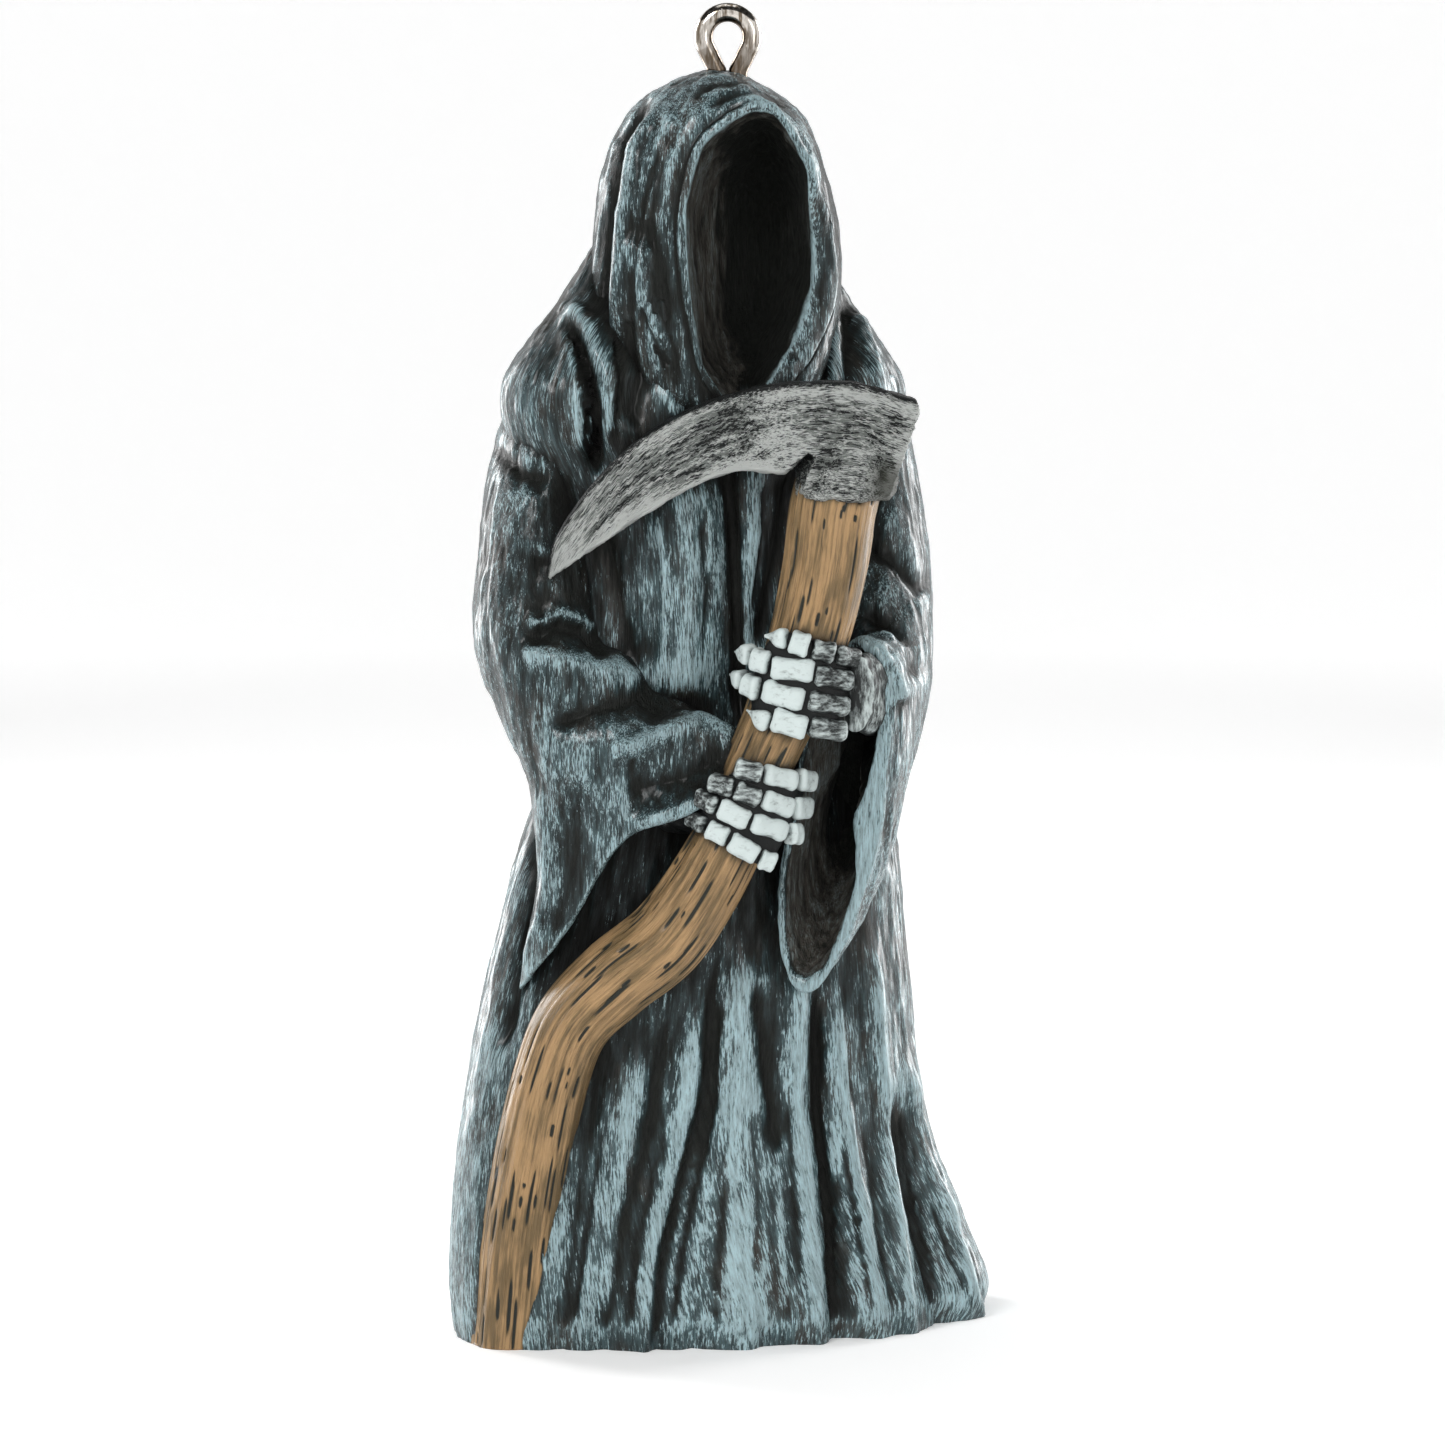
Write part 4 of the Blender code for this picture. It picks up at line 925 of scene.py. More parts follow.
def group(name, inputs, outputs, tree_kind="ShaderNodeTree"):
    """A new node group with these sockets: its board, its way in and its way out."""
    tree = bpy.data.node_groups.new(name, tree_kind)
    for label, kind, default in inputs:
        socket = tree.interface.new_socket(label, in_out="INPUT", socket_type=kind)
        if default is not None:
            socket.default_value = default
    for label, kind in outputs:
        tree.interface.new_socket(label, in_out="OUTPUT", socket_type=kind)
    board = Board(tree)
    return board, board.add("NodeGroupInput").outputs, board.add("NodeGroupOutput").inputs


def modifier_group(name, inputs, output):
    """A new geometry node group for a modifier, with these sockets."""
    sockets = [(label, kind, None) for label, kind in inputs]
    parts = group(name, sockets, [(output, GEOMETRY)], "GeometryNodeTree")
    parts[0].tree.is_modifier = True
    return parts


def end_modifier_group(board, shape, material, out):
    """Ends a geometry node group: its shape is made real and given its material."""
    real = board.place("GeometryNodeRealizeInstances", {"Geometry": shape})
    inputs = {"Geometry": real["Geometry"], "Material": material}
    board.feed(out, board.place("GeometryNodeSetMaterial", inputs)["Geometry"])
    return board.tree


def make_brush_group():
    """Dry brushing: paint that catches on ridges in broken streaks and misses the hollows, which also
    paints the shade in them.
    """
    board, given, out = group(
        "dry_brush",
        [
            ("Grain", VECTOR, None),
            ("Ridge", NUMBER, 0.0),
            ("Openness", NUMBER, 1.0),
            ("Across", NUMBER, 0.3),
            ("Along", NUMBER, 2.5),
            ("Load", NUMBER, 0.5),
            ("Follow", NUMBER, 0.6),
            ("Breakup", NUMBER, 1.0),
            ("Patches", NUMBER, 1.0),
            ("Softness", NUMBER, 0.25),
            ("Detail", NUMBER, 7.0),
        ],
        [("Mask", NUMBER), ("Streak", NUMBER)],
    )
    drawn = board.stretch(given["Grain"], given["Across"], given["Along"])
    streak = board.noise(drawn, detail=given["Detail"], roughness=0.68)
    patch = board.noise(board.stretch(given["Grain"], 2.6, 6.0), detail=3.0)
    height = board.math("MULTIPLY_ADD", given["Ridge"], given["Follow"], given["Load"])
    height = board.math("MULTIPLY_ADD", board.math("SUBTRACT", streak, 0.5), given["Breakup"], height)
    height = board.math("MULTIPLY_ADD", board.math("SUBTRACT", patch, 0.5), given["Patches"], height)
    # Less paint where the openness is low: the brush misses the hollows, and this also paints the shade
    # that falls in them.
    height = board.math("MULTIPLY_ADD", board.math("SUBTRACT", given["Openness"], 0.8), 0.8, height)
    low = board.math("SUBTRACT", 0.5, given["Softness"])
    high = board.math("ADD", 0.5, given["Softness"])
    board.feed(out["Mask"], board.step(height, low, high))
    board.feed(out["Streak"], streak)
    return board.tree


def use_group(board, tree, **values):
    """Places a node group in a material with these values on its inputs."""
    return board.place("ShaderNodeGroup", values, node_tree=tree)


def new_material(name, roughness, metallic=0.0, coat=0.0, coat_roughness=0.3, shine=0.18):
    """A material with these constants on its shader: the material, its board and the shader."""
    material = bpy.data.materials.new(name)
    material.use_nodes = True
    shader = material.node_tree.nodes["Principled BSDF"]
    shader.inputs["Roughness"].default_value = roughness
    shader.inputs["Metallic"].default_value = metallic
    shader.inputs["Coat Weight"].default_value = coat
    shader.inputs["Specular IOR Level"].default_value = shine
    shader.inputs["Coat Roughness"].default_value = coat_roughness
    return material, Board(material.node_tree), shader


def bumped(board, shader, height, distance, strength=1.0):
    """Leads a height into the shader as a bump of this depth in metres."""
    inputs = {"Height": height, "Distance": distance, "Strength": strength}
    board.feed(shader.inputs["Normal"], board.place("ShaderNodeBump", inputs)[0])


def paint_value(paints, name):
    """One of the paints with full opacity."""
    return (*getattr(paints, name), 1.0)


def cloth_material(paints, brush):
    """Cast cloth: near-black wash, also painted shade in the recesses, brown and slate body colour,
    mist and frost dry brushing, the frost also painted glints.
    """
    material, board, shader = new_material("brushed_cloth", 0.5, coat_roughness=0.22)
    grain = board.layer("grain", "Vector")
    ridge, open_, lining = board.layer("ridge"), board.layer("openness"), board.layer("lining")
    edge, loaded = board.layer("edge"), board.layer("loaded")
    lifted = board.math("MULTIPLY_ADD", edge, 0.9, ridge)
    body = use_group(
        board, brush, Grain=grain, Ridge=lifted, Openness=open_, Across=0.42, Along=3.6,
        Load=board.math("ADD", loaded, 0.32), Follow=0.6, Breakup=1.8, Patches=0.9, Softness=0.6,
    )
    pale = use_group(
        board, brush, Grain=grain, Ridge=lifted, Openness=open_, Across=0.24, Along=2.8,
        Load=board.math("ADD", loaded, -0.16), Follow=0.6, Breakup=2.5, Patches=1.0, Softness=0.65,
    )
    last = use_group(
        board, brush, Grain=grain, Ridge=lifted, Openness=open_, Across=0.1, Along=1.0,
        Load=board.math("ADD", loaded, -0.3), Follow=0.8, Breakup=5.2, Patches=1.8, Softness=0.24,
    )
    # Painted shade: the near-black wash goes where the openness is low, in recesses where shade falls,
    # as well as the real wash there.
    dark = board.step(open_, 0.05, 0.8)
    base = board.mix(dark, paint_value(paints, "wash"), paint_value(paints, "umber"))
    dull = board.noise(board.stretch(grain, 3.4, 8.0), detail=3.0)
    dull = board.math("MULTIPLY_ADD", lining, 0.8, board.step(dull, 0.5, 0.64), clamp=True)
    tone = board.mix(dull, paint_value(paints, "slate"), paint_value(paints, "dust"))
    glow = board.math("MULTIPLY", board.layer("glow"), 0.7)
    tone = board.mix(glow, tone, paint_value(paints, "lining"))
    base = board.mix(body["Mask"], base, tone)
    outside = board.math("SUBTRACT", 1.0, lining)
    misted = board.math("MULTIPLY", pale["Mask"], board.math("MULTIPLY_ADD", outside, 0.65, 0.25))
    base = board.mix(misted, base, paint_value(paints, "mist"))
    # The frost: last dry-brushed touches, which also paint glints on the ridges.
    frost_and_glints = board.math("MULTIPLY", last["Mask"], board.math("MULTIPLY_ADD", outside, 0.75, 0.15))
    base = board.mix(frost_and_glints, base, paint_value(paints, "frost"))
    varied = board.math("ADD", pale["Streak"], last["Streak"])
    varied = board.mix(board.step(varied, 0.72, 1.26), (0.5, 0.5, 0.5, 1.0), (1.12, 1.12, 1.12, 1.0))
    base = board.mix(1.0, base, varied, "MULTIPLY")
    board.feed(shader.inputs["Base Color"], base)
    board.feed(shader.inputs["Roughness"], board.math("MULTIPLY_ADD", pale["Streak"], 0.3, 0.35))
    coat = board.math("MULTIPLY_ADD", body["Mask"], 0.5, 0.08)
    board.feed(shader.inputs["Coat Weight"], board.math("MULTIPLY", coat, outside))
    height = board.math("ADD", pale["Streak"], last["Streak"])
    bumped(board, shader, height, 0.0006, 1.0)
    return material


def wood_material(paints, brush):
    """The wooden handle, painted: brown with lighter streaks and grey-green pores, and painted shade in
    its hollows.
    """
    material, board, shader = new_material("painted_wood", 0.5, coat=0.26, coat_roughness=0.24)
    grain, pore = board.layer("grain", "Vector"), board.layer("pore")
    ridge, open_ = board.layer("ridge"), board.layer("openness")
    light = use_group(
        board, brush, Grain=grain, Ridge=ridge, Openness=open_, Across=0.45, Along=9.0,
        Load=0.34, Follow=0.4, Breakup=3.2, Patches=2.2, Softness=0.45,
    )
    dark = board.noise(board.stretch(grain, 0.2, 4.5), detail=4.0)
    base = board.mix(light["Mask"], paint_value(paints, "oak"), paint_value(paints, "amber"))
    shade = board.math("MULTIPLY", board.step(dark, 0.54, 0.76), 0.6)
    base = board.mix(shade, base, paint_value(paints, "pore"))
    base = board.mix(board.step(pore, 0.2, 0.6), base, paint_value(paints, "pore"))
    # Painted shade: the wash colour where the openness is low, where shade falls on the handle.
    hollow_shade = board.math("SUBTRACT", 1.0, board.step(open_, 0.15, 0.8))
    base = board.mix(board.math("MULTIPLY", hollow_shade, 0.9), base, paint_value(paints, "wash"))
    board.feed(shader.inputs["Base Color"], base)
    board.feed(shader.inputs["Roughness"], board.math("MULTIPLY_ADD", dark, 0.3, 0.3))
    bumped(board, shader, board.math("ADD", dark, light["Streak"]), 0.0004, 1.0)
    return material


def blade_material(paints, brush):
    """The blade: silver dragged over black, so that the black shows in broken streaks."""
    material, board, shader = new_material("silvered_blade", 0.42, coat=0.12, coat_roughness=0.25)
    grain, open_ = board.layer("grain", "Vector"), board.layer("openness")
    ridge, edge = board.layer("ridge"), board.layer("edge")
    silver = use_group(
        board, brush, Grain=grain, Ridge=ridge, Openness=open_, Across=0.19, Along=1.25,
        Load=board.math("ADD", edge, 0.3), Follow=0.25, Breakup=7.5, Patches=0.9, Softness=0.22,
        Detail=3.5,
    )
    bright = use_group(
        board, brush, Grain=grain, Ridge=ridge, Openness=open_, Across=0.09, Along=0.6,
        Load=board.math("MULTIPLY_ADD", edge, 0.6, -0.06), Follow=0.5, Breakup=4.8, Patches=2.4,
        Softness=0.3,
    )
    base = board.mix(silver["Mask"], paint_value(paints, "pewter"), paint_value(paints, "silver"))
    base = board.mix(board.math("MULTIPLY", bright["Mask"], 0.8), base, paint_value(paints, "gleam"))
    socket = board.math("MULTIPLY", board.layer("olive"), 0.8)
    base = board.mix(socket, base, paint_value(paints, "socket"))
    board.feed(shader.inputs["Base Color"], base)
    board.feed(shader.inputs["Metallic"], board.math("MULTIPLY", silver["Mask"], 0.15))
    board.feed(shader.inputs["Roughness"], board.math("MULTIPLY_ADD", bright["Streak"], 0.3, 0.3))
    bumped(board, shader, board.math("ADD", silver["Streak"], bright["Streak"]), 0.0006, 1.0)
    return material


def bone_material(paints, brush):
    """Finger bones: off-white, with painted shade in the gaps between and behind them, and dark silver
    at the knuckles.
    """
    material, board, shader = new_material("painted_bone", 0.45, coat=0.08, coat_roughness=0.28)
    grain, ridge, open_ = board.layer("grain", "Vector"), board.layer("ridge"), board.layer("openness")
    tarnish_and_shade = board.layer("tarnish_and_shade")
    white = use_group(
        board, brush, Grain=grain, Ridge=ridge, Openness=open_, Across=0.3, Along=1.1,
        Load=board.math("MULTIPLY_ADD", tarnish_and_shade, -0.78, 0.86), Follow=0.6, Breakup=2.8,
        Patches=0.8, Softness=0.55,
    )
    base = board.mix(white["Mask"], paint_value(paints, "pewter"), paint_value(paints, "bone"))
    # Painted shade: near-black where the openness is low, in the gaps between the bones.
    base = board.mix(board.step(open_, 0.1, 0.5), paint_value(paints, "gap_shade"), base)
    # Painted shade: the web behind the bones, darkest by its layer, goes near-black.
    base = board.mix(board.step(tarnish_and_shade, 1.2, 1.5), base, paint_value(paints, "gap_shade"))
    board.feed(shader.inputs["Base Color"], base)
    board.feed(shader.inputs["Roughness"], board.math("MULTIPLY_ADD", white["Streak"], 0.25, 0.32))
    bumped(board, shader, white["Streak"], 0.00015, 0.7)
    return material


def wire_material(paints):
    """Polished plated wire, with faint marks of its drawing and bending in its roughness and bumps,
    painted reflections in brown streaks along it and painted shade on its inner side.
    """
    material, board, shader = new_material("plated_wire", 0.12, metallic=1.0, shine=0.5)
    grain = board.layer("grain", "Vector")
    drag = board.noise(board.stretch(grain, 0.25, 2.5), detail=4.0)
    # Painted reflection: the noise also lays darker brown streaks along the wire.
    reflection_streaks = board.step(drag, 0.4, 0.62)
    tint = board.mix(reflection_streaks, paint_value(paints, "nickel"), paint_value(paints, "drag"))
    outer = board.step(board.layer("openness"), 0.5, 0.95)
    tint = board.mix(outer, paint_value(paints, "shade"), tint)
    board.feed(shader.inputs["Base Color"], tint)
    board.feed(shader.inputs["Roughness"], board.math("MULTIPLY_ADD", drag, 0.16, 0.05))
    bumped(board, shader, drag, 0.00003, 0.5)
    return material


def paints_of(name):
    """The material of this name, made with the others on first use."""
    if name not in bpy.data.materials:
        paints = bpy.context.scene.ornament_paints
        brush = make_brush_group()
        cloth_material(paints, brush)
        wood_material(paints, brush)
        blade_material(paints, brush)
        bone_material(paints, brush)
        wire_material(paints)
    return bpy.data.materials[name]


# The forms.


def robe_rings():
    """The robe's rings from the ground to the neck, and the angles that they are cut at."""
    heights = [row[0] for row in ROBE]
    ground = np.interp(0.0, heights, np.arange(len(ROBE)))
    at = np.linspace(ground, len(ROBE) - 1, ROBE_UP)
    angles = full_turn(ROBE_AROUND)
    angles = angles + ROBE_CROWDING * np.cos(angles)
    across, along = oval(angles, ROBE_SQUARENESS)
    behind = np.clip(np.sin(angles) * BACK_PLEAT_ONSET, 0, 1)
    rings = []
    for height, left, right, front, back in through(ROBE, at):
        drop = max(1 - height / BACK_PLEAT_TOP, 0)
        sway = BACK_PLEAT_SWAY * math.sin(height * BACK_PLEAT_SWAY_RATE) + BACK_PLEAT_PHASE
        pleats = BACK_PLEAT_RISE * drop * np.sin(angles * BACK_PLEATS * 2 + sway) * behind
        x = (left + right) / 2 + (right - left) / 2 * across
        y = (np.where(along < 0, front, back) + pleats) * along + SHEAR * x
        rings.append(np.stack([x, y, np.full_like(x, height)], axis=1))
    return np.array(rings), angles


def build_robe(sizes):
    """The robe, with its folds, creases and tooled grain."""
    rings, angles = robe_rings()
    rings = folded(folded(rings, ROBE_FOLDS), ROBE_CREASES)
    rings = tooled(rings, sizes.cloth_grain / U, SEEDS["robe"])
    rings[0, :, 2] = 0.0
    rings[:, :, 2] = np.maximum(rings[:, :, 2], 0.0)
    limit = np.interp(rings[..., 2], NECK_HEIGHTS, NECK_LIMITS)
    within = smooth_step((NECK_REACH - np.abs(rings[..., 0] - NECK_MIDDLE)) / NECK_BLEND)
    rings[..., 1] += within * np.maximum(limit - rings[..., 1], 0)
    wide, deep = ROBE_STREAKS
    spread = np.stack([np.cos(angles) * wide, np.sin(angles) * deep], axis=1)
    grain = np.concatenate([np.broadcast_to(spread, (*rings.shape[:2], 2)), rings[..., 2:]], axis=2)
    hem = bell(rings[..., 2], HEM_REACH)
    loaded = np.interp(rings[..., 2], BRUSH_HEIGHTS, BRUSH_LOADS)
    # Painted shade: less paint on the skirt beside the scythe's handle.
    shaded = bell(rings[..., 0] - HANDLE_SHADE_AT, HANDLE_SHADE_WIDTH)
    loaded -= HANDLE_SHADE * shaded * (rings[..., 2] < HANDLE_SHADE_TOP)
    return loft("robe", rings, grain, {"edge": -hem * HEM_DARKENING, "lining": 0.0, "loaded": loaded})


def hood_rings():
    """The hood's rings from the pole behind, over the rim of its mouth, to the pole inside."""
    girth, mouth = closed_curve(HOOD_GIRTH, HOOD_AROUND), closed_curve(HOOD_MOUTH, HOOD_AROUND)
    out = mouth - mouth.mean(axis=0)
    out /= np.linalg.norm(out, axis=1, keepdims=True)
    rim = closed_curve(HOOD_RIM, HOOD_AROUND)
    brim, back, deepest = mouth + out * rim, np.array(HOOD_BACK), np.array(HOOD_DEEPEST)
    rings = []
    for turn in np.linspace(HOOD_POLE, math.pi / 2, HOOD_BEHIND, endpoint=False):
        ring = back + (girth - back) * math.sin(turn) ** HOOD_BACK_ROUNDNESS
        ring[:, 1] = back[1] + (girth[:, 1] - back[1]) * (1 - math.cos(turn))
        rings.append(ring)
    for turn in np.linspace(0, math.pi / 2, HOOD_BEFORE, endpoint=False):
        ring = brim + (girth - brim) * math.cos(turn) ** HOOD_FRONT_ROUNDNESS
        sweep = math.sin(turn) ** HOOD_FRONT_SWEEP
        ring[:, 1] = girth[:, 1] + (brim[:, 1] - girth[:, 1]) * sweep
        rings.append(ring)
    for turn in np.linspace(0, math.pi, HOOD_LIP, endpoint=False):
        lead = (0, -HOOD_RIM_LEAD * math.sin(turn), 0)
        rings.append(mouth + out * rim * 0.5 * (1 + math.cos(turn)) + lead)
    for turn in np.linspace(0, math.pi / 2 - HOOD_POLE, HOOD_INSIDE):
        ring = deepest + (mouth - deepest) * math.cos(turn)
        ring[:, 1] = mouth[:, 1] + (deepest[1] - mouth[:, 1]) * math.sin(turn)
        rings.append(ring)
    return np.array(rings)


def build_hood(sizes):
    """The empty hood: its outside, the rolled rim round its mouth and its hollow."""
    rings = hood_rings()
    row = np.arange(len(rings))[:, None]
    outer = HOOD_BEHIND + HOOD_BEFORE
    inner = outer + HOOD_LIP
    shaped = rings.copy()
    shaped[:outer] = folded(folded(rings[:outer], HOOD_FOLDS), HOOD_CREASES)
    fade = smooth_step((outer - row) / HOOD_FOLD_FADE)[..., None]
    shaped = rings + (shaped - rings) * fade
    grain_depth = sizes.cloth_grain / U * np.where(row >= inner, LINING_GRAIN, 1.0)
    shaped = tooled(shaped, grain_depth, SEEDS["hood"])
    x, y, z = shaped.transpose(2, 0, 1)
    lining = np.broadcast_to(smooth_step((row - inner + 4) / 4), x.shape)
    edge = bell(row - inner + 2, RIM_PALENESS_REACH) * RIM_PALENESS
    brow = bell(row - outer, BROW_REACH) * smooth_step((z - BROW_FROM) / BROW_FADE)
    flap = bell(row - outer, FLAP_REACH) * smooth_step((x - FLAP_FROM) / FLAP_FADE)
    border = bell(row - outer + BORDER_AHEAD, BORDER_REACH)
    loaded = HOOD_LOAD + BROW_LOAD * brow + FLAP_LOAD * flap + BORDER_LOAD * border
    loaded = loaded - RIM_LOSS * smooth_step((row - outer) / 3)
    # Light falls on the left of the lining, further in below the chin, and under the crown.
    limit = LIGHT_REACH + CHIN_REACH * smooth_step((CHIN_TOP - z) / CHIN_FADE)
    left = smooth_step((limit - x) / LIGHT_REACH_FADE)
    left = left * smooth_step((LIGHT_DEPTH - y) / LIGHT_DEPTH_FADE)
    crown = smooth_step((z - CROWN_FROM) / CROWN_FADE)
    crown = crown * smooth_step((-y - CROWN_DEPTH) / CROWN_DEPTH_FADE)
    glow = lining * np.maximum(left, crown * CROWN_LIGHT)
    loaded = loaded + lining * (glow * HOOD_LINING_LIFT + HOOD_LINING_LOAD - loaded)
    layers = {"edge": edge, "lining": lining, "loaded": loaded, "glow": glow}
    return loft("hood", shaped, shaped.copy(), layers)


def sleeve_rings(stations, hem_cut, samples):
    """Ovals of a sleeve and their middles, with the hem cut back at one place."""
    last = len(stations) - 1
    angles = full_turn(SLEEVE_AROUND)
    turn, spread, depth = hem_cut
    notch = depth * bell(np.degrees(turn_between(angles, math.radians(turn))), spread)
    near_hem = np.clip(samples - (last - 1), 0, 1)[:, None]
    places = samples[:, None] - notch * near_hem
    rows = through(stations, places.ravel()).reshape(len(samples), SLEEVE_AROUND, 9)
    middle, long_axis, short_axis = rows[..., :3], rows[..., 3:6], rows[..., 6:]
    wide = np.cos(angles)[:, None] * long_axis
    tall = np.sin(angles)[:, None] * short_axis
    return middle + wide + tall, middle


def build_sleeve(name, stations, hem_cut, folds, broad_hem, loads, sizes):
    """A hanging sleeve with a rolled hem, hollow from its hem to its elbow."""
    last, seed = len(stations) - 1, SEEDS[name]
    outer, _ = sleeve_rings(stations, hem_cut, np.linspace(0, last, SLEEVE_ALONG))
    outer = tooled(folded(outer, folds), sizes.cloth_grain / U, seed)
    samples = np.linspace(last, last - SLEEVE_HOLLOW, SLEEVE_INSIDE)
    inner, middles = sleeve_rings(stations, hem_cut, samples)
    inner = folded(inner, folds)
    turn, spread, extra, light = broad_hem
    apart = turn_between(full_turn(SLEEVE_AROUND), math.radians(turn))
    broad = extra * bell(apart, math.radians(spread))
    wall = SLEEVE_WALL + ((last - samples) * SLEEVE_THICKENING)[:, None] + broad
    inward = middles - inner
    inner += inward * wall[..., None] / np.linalg.norm(inward, axis=2, keepdims=True)
    inner = tooled(inner, sizes.cloth_grain / U * LINING_GRAIN, seed + 3)
    hem, lip = outer[-1], []
    forward = outer[-1] - outer[-3]
    forward /= np.linalg.norm(forward, axis=1, keepdims=True)
    for turn in np.linspace(0, math.pi, SLEEVE_LIP + 2)[1:-1]:
        share = (1 - math.cos(turn)) / 2
        rise = forward * SLEEVE_WALL * SLEEVE_LIP_ROUND * math.sin(turn)
        lip.append(hem + (inner[0] - hem) * share + rise)
    rings = np.concatenate([outer, np.array(lip), inner])
    row = np.arange(len(rings))[:, None]
    edge = bell(row - SLEEVE_ALONG - SLEEVE_LIP / 2, SLEEVE_HEM_REACH) * SLEEVE_HEM_PALENESS
    lining = np.broadcast_to(smooth_step((row - SLEEVE_ALONG - SLEEVE_LIP + 1) / 3), rings.shape[:2])
    start, width, most = light
    glow = lining * smooth_step((start - rings[..., 0]) / width) * most
    loaded = np.interp(rings[..., 2], *loads)
    loaded = loaded + lining * (glow * SLEEVE_LINING_LIFT + SLEEVE_LINING_LOAD - loaded)
    layers = {"edge": edge, "lining": lining, "loaded": loaded, "glow": glow}
    return loft(name, rings, rings.copy(), layers)


def pore_marks(count, length, seed):
    """Random short pores of the wood: place along, angle, length, half width."""
    chance = np.random.default_rng(seed)
    return np.stack(
        [
            chance.uniform(0, length, count),
            chance.uniform(0, 2 * math.pi, count),
            chance.uniform(PORE_SHORTEST, 1.0, count) ** 2 * PORE_LENGTH,
            chance.uniform(*PORE_WIDTHS, count),
        ],
        axis=1,
    )


def build_snath(sizes):
    """The scythe's handle, with long grain and short pores cut in it."""
    rows = open_curve(SNATH, SNATH_ALONG)
    paths = np.gradient(rows[:, :3], axis=0)
    steps = np.linalg.norm(np.diff(rows[:, :3], axis=0), axis=1)
    length = np.concatenate([[0], np.cumsum(steps)])
    angles = full_turn(SNATH_AROUND)
    place, turn = np.meshgrid(length, angles, indexing="ij")
    radius = rows[:, 3][:, None]
    grain = np.stack([np.cos(turn) * SNATH_RADIUS, np.sin(turn) * SNATH_RADIUS, place], axis=-1)
    long_grain = sum(hills(grain, size, seed, 2) * depth for size, seed, depth in SNATH_GRAIN)
    pore = np.zeros_like(place)
    for middle, angle, half, width in pore_marks(sizes.pores, length[-1], SEEDS["pores"]):
        around = turn_between(turn, angle) * SNATH_RADIUS
        ends = smooth_step(PORE_ENDS - np.abs(place - middle) / half)
        pore = np.maximum(pore, bell(around, width) * ends)
    thick = radius + long_grain - pore * PORE_DEPTH
    forward = paths / np.linalg.norm(paths, axis=1, keepdims=True)
    side = np.cross(forward, (0.0, 1.0, 0.0))
    side /= np.linalg.norm(side, axis=1, keepdims=True)
    out = np.cross(side, forward)
    rings = rows[:, None, :3] + thick[..., None] * (
        np.cos(turn)[..., None] * side[:, None] + np.sin(turn)[..., None] * out[:, None]
    )
    rings[..., 2] = np.maximum(rings[..., 2], 0.0)
    return loft("scythe_handle", rings, grain, {"pore": pore})


def blade_shift(x):
    """How far back the blade lies at each place along it, as it swells over the ferrule."""
    return BLADE_LEAN * x - BLADE_SWELL * smooth_step((x - BLADE_SWELL_FROM) / BLADE_SWELL_OVER)


def blade_form():
    """The blade's outline drawn out to its depth."""
    back, edge = open_curve(BLADE_BACK, BLADE_BACK_STEPS), open_curve(BLADE_EDGE, BLADE_EDGE_STEPS)
    outline = [tuple(p) for p in back] + BLADE_HEEL + [tuple(p) for p in edge]
    points = [(x, BLADE_FRONT + depth, z) for depth in (0.0, BLADE_BACKING) for x, z in outline]
    count = len(outline)
    faces = [tuple(range(count)), tuple(range(2 * count - 1, count - 1, -1))]
    faces += [(i, (i + 1) % count, (i + 1) % count + count, i + count) for i in range(count)]
    return np.array(points, float), faces


def ferrule_form():
    """The ferrule as closed rings."""
    angles = full_turn(FERRULE_AROUND)
    rings = []
    for x, y, z, wide, deep in FERRULE:
        ring = (x + wide * np.cos(angles), y + deep * np.sin(angles), np.full(FERRULE_AROUND, z))
        rings.append(np.stack(ring, axis=1))
    foot, top = range(FERRULE_AROUND), (len(rings) - 1) * FERRULE_AROUND
    faces = tube_faces(len(rings), FERRULE_AROUND)
    faces += [tuple(foot), tuple(top + c for c in reversed(foot))]
    return np.concatenate(rings), faces


def build_blade():
    """The blade and its ferrule, run together into one form and dragged with a tool."""
    points, faces = blade_form()
    more, extra = ferrule_form()
    more[:, 1] -= blade_shift(more[:, 0])
    faces = faces + [tuple(i + len(points) for i in face) for face in extra]
    mesh = closed_mesh("blade_form", np.concatenate([points, more]) * U, faces)
    rough = new_object("blade_form", mesh)
    knead = rough.modifiers.new("knead", "REMESH")
    knead.mode = "VOXEL"
    knead.voxel_size = BLADE_VOXEL * U
    ease = rough.modifiers.new("ease", "SMOOTH")
    ease.factor = BLADE_EASE
    ease.iterations = BLADE_EASE_ROUNDS
    piece = evaluated_copy(rough, "scythe_blade")
    mesh = piece.data
    places = mesh_points(mesh) / U
    places[:, 1] += blade_shift(places[:, 0])
    mesh.vertices.foreach_set("co", places.ravel())
    mesh.update()
    normals = mesh_normals(mesh)
    back = open_curve(BLADE_BACK, BLADE_BACK_FINE)
    nearest = np.abs(places[:, None, 0] - back[None, :, 0]).argmin(axis=1)
    below = back[nearest, 1] - places[:, 2]
    grain = np.stack([below, places[:, 1], places[:, 0]], axis=1)
    dents = hills(grain, BLADE_DENTS, SEEDS["blade"], 3) * BLADE_DENT_DEPTH
    places = places + normals * dents[:, None]
    mesh.vertices.foreach_set("co", turned(places).ravel())
    mesh.update()
    add_layer(mesh, "grain", grain)
    low = smooth_step((SOCKET_TOP - places[:, 2]) / SOCKET_DROP)
    add_layer(mesh, "olive", smooth_step((places[:, 0] - SOCKET_FROM) / SOCKET_FADE) * low)
    keen = open_curve(BLADE_EDGE, BLADE_EDGE_FINE)
    away = np.hypot(*(places[:, None, ::2] - keen[None]).transpose(2, 0, 1)).min(axis=1)
    edge = KEEN_LIGHT * bell(away, KEEN_WIDTH) - BACK_SHADE * bell(below, BACK_WIDTH)
    add_layer(mesh, "edge", edge)
    return piece


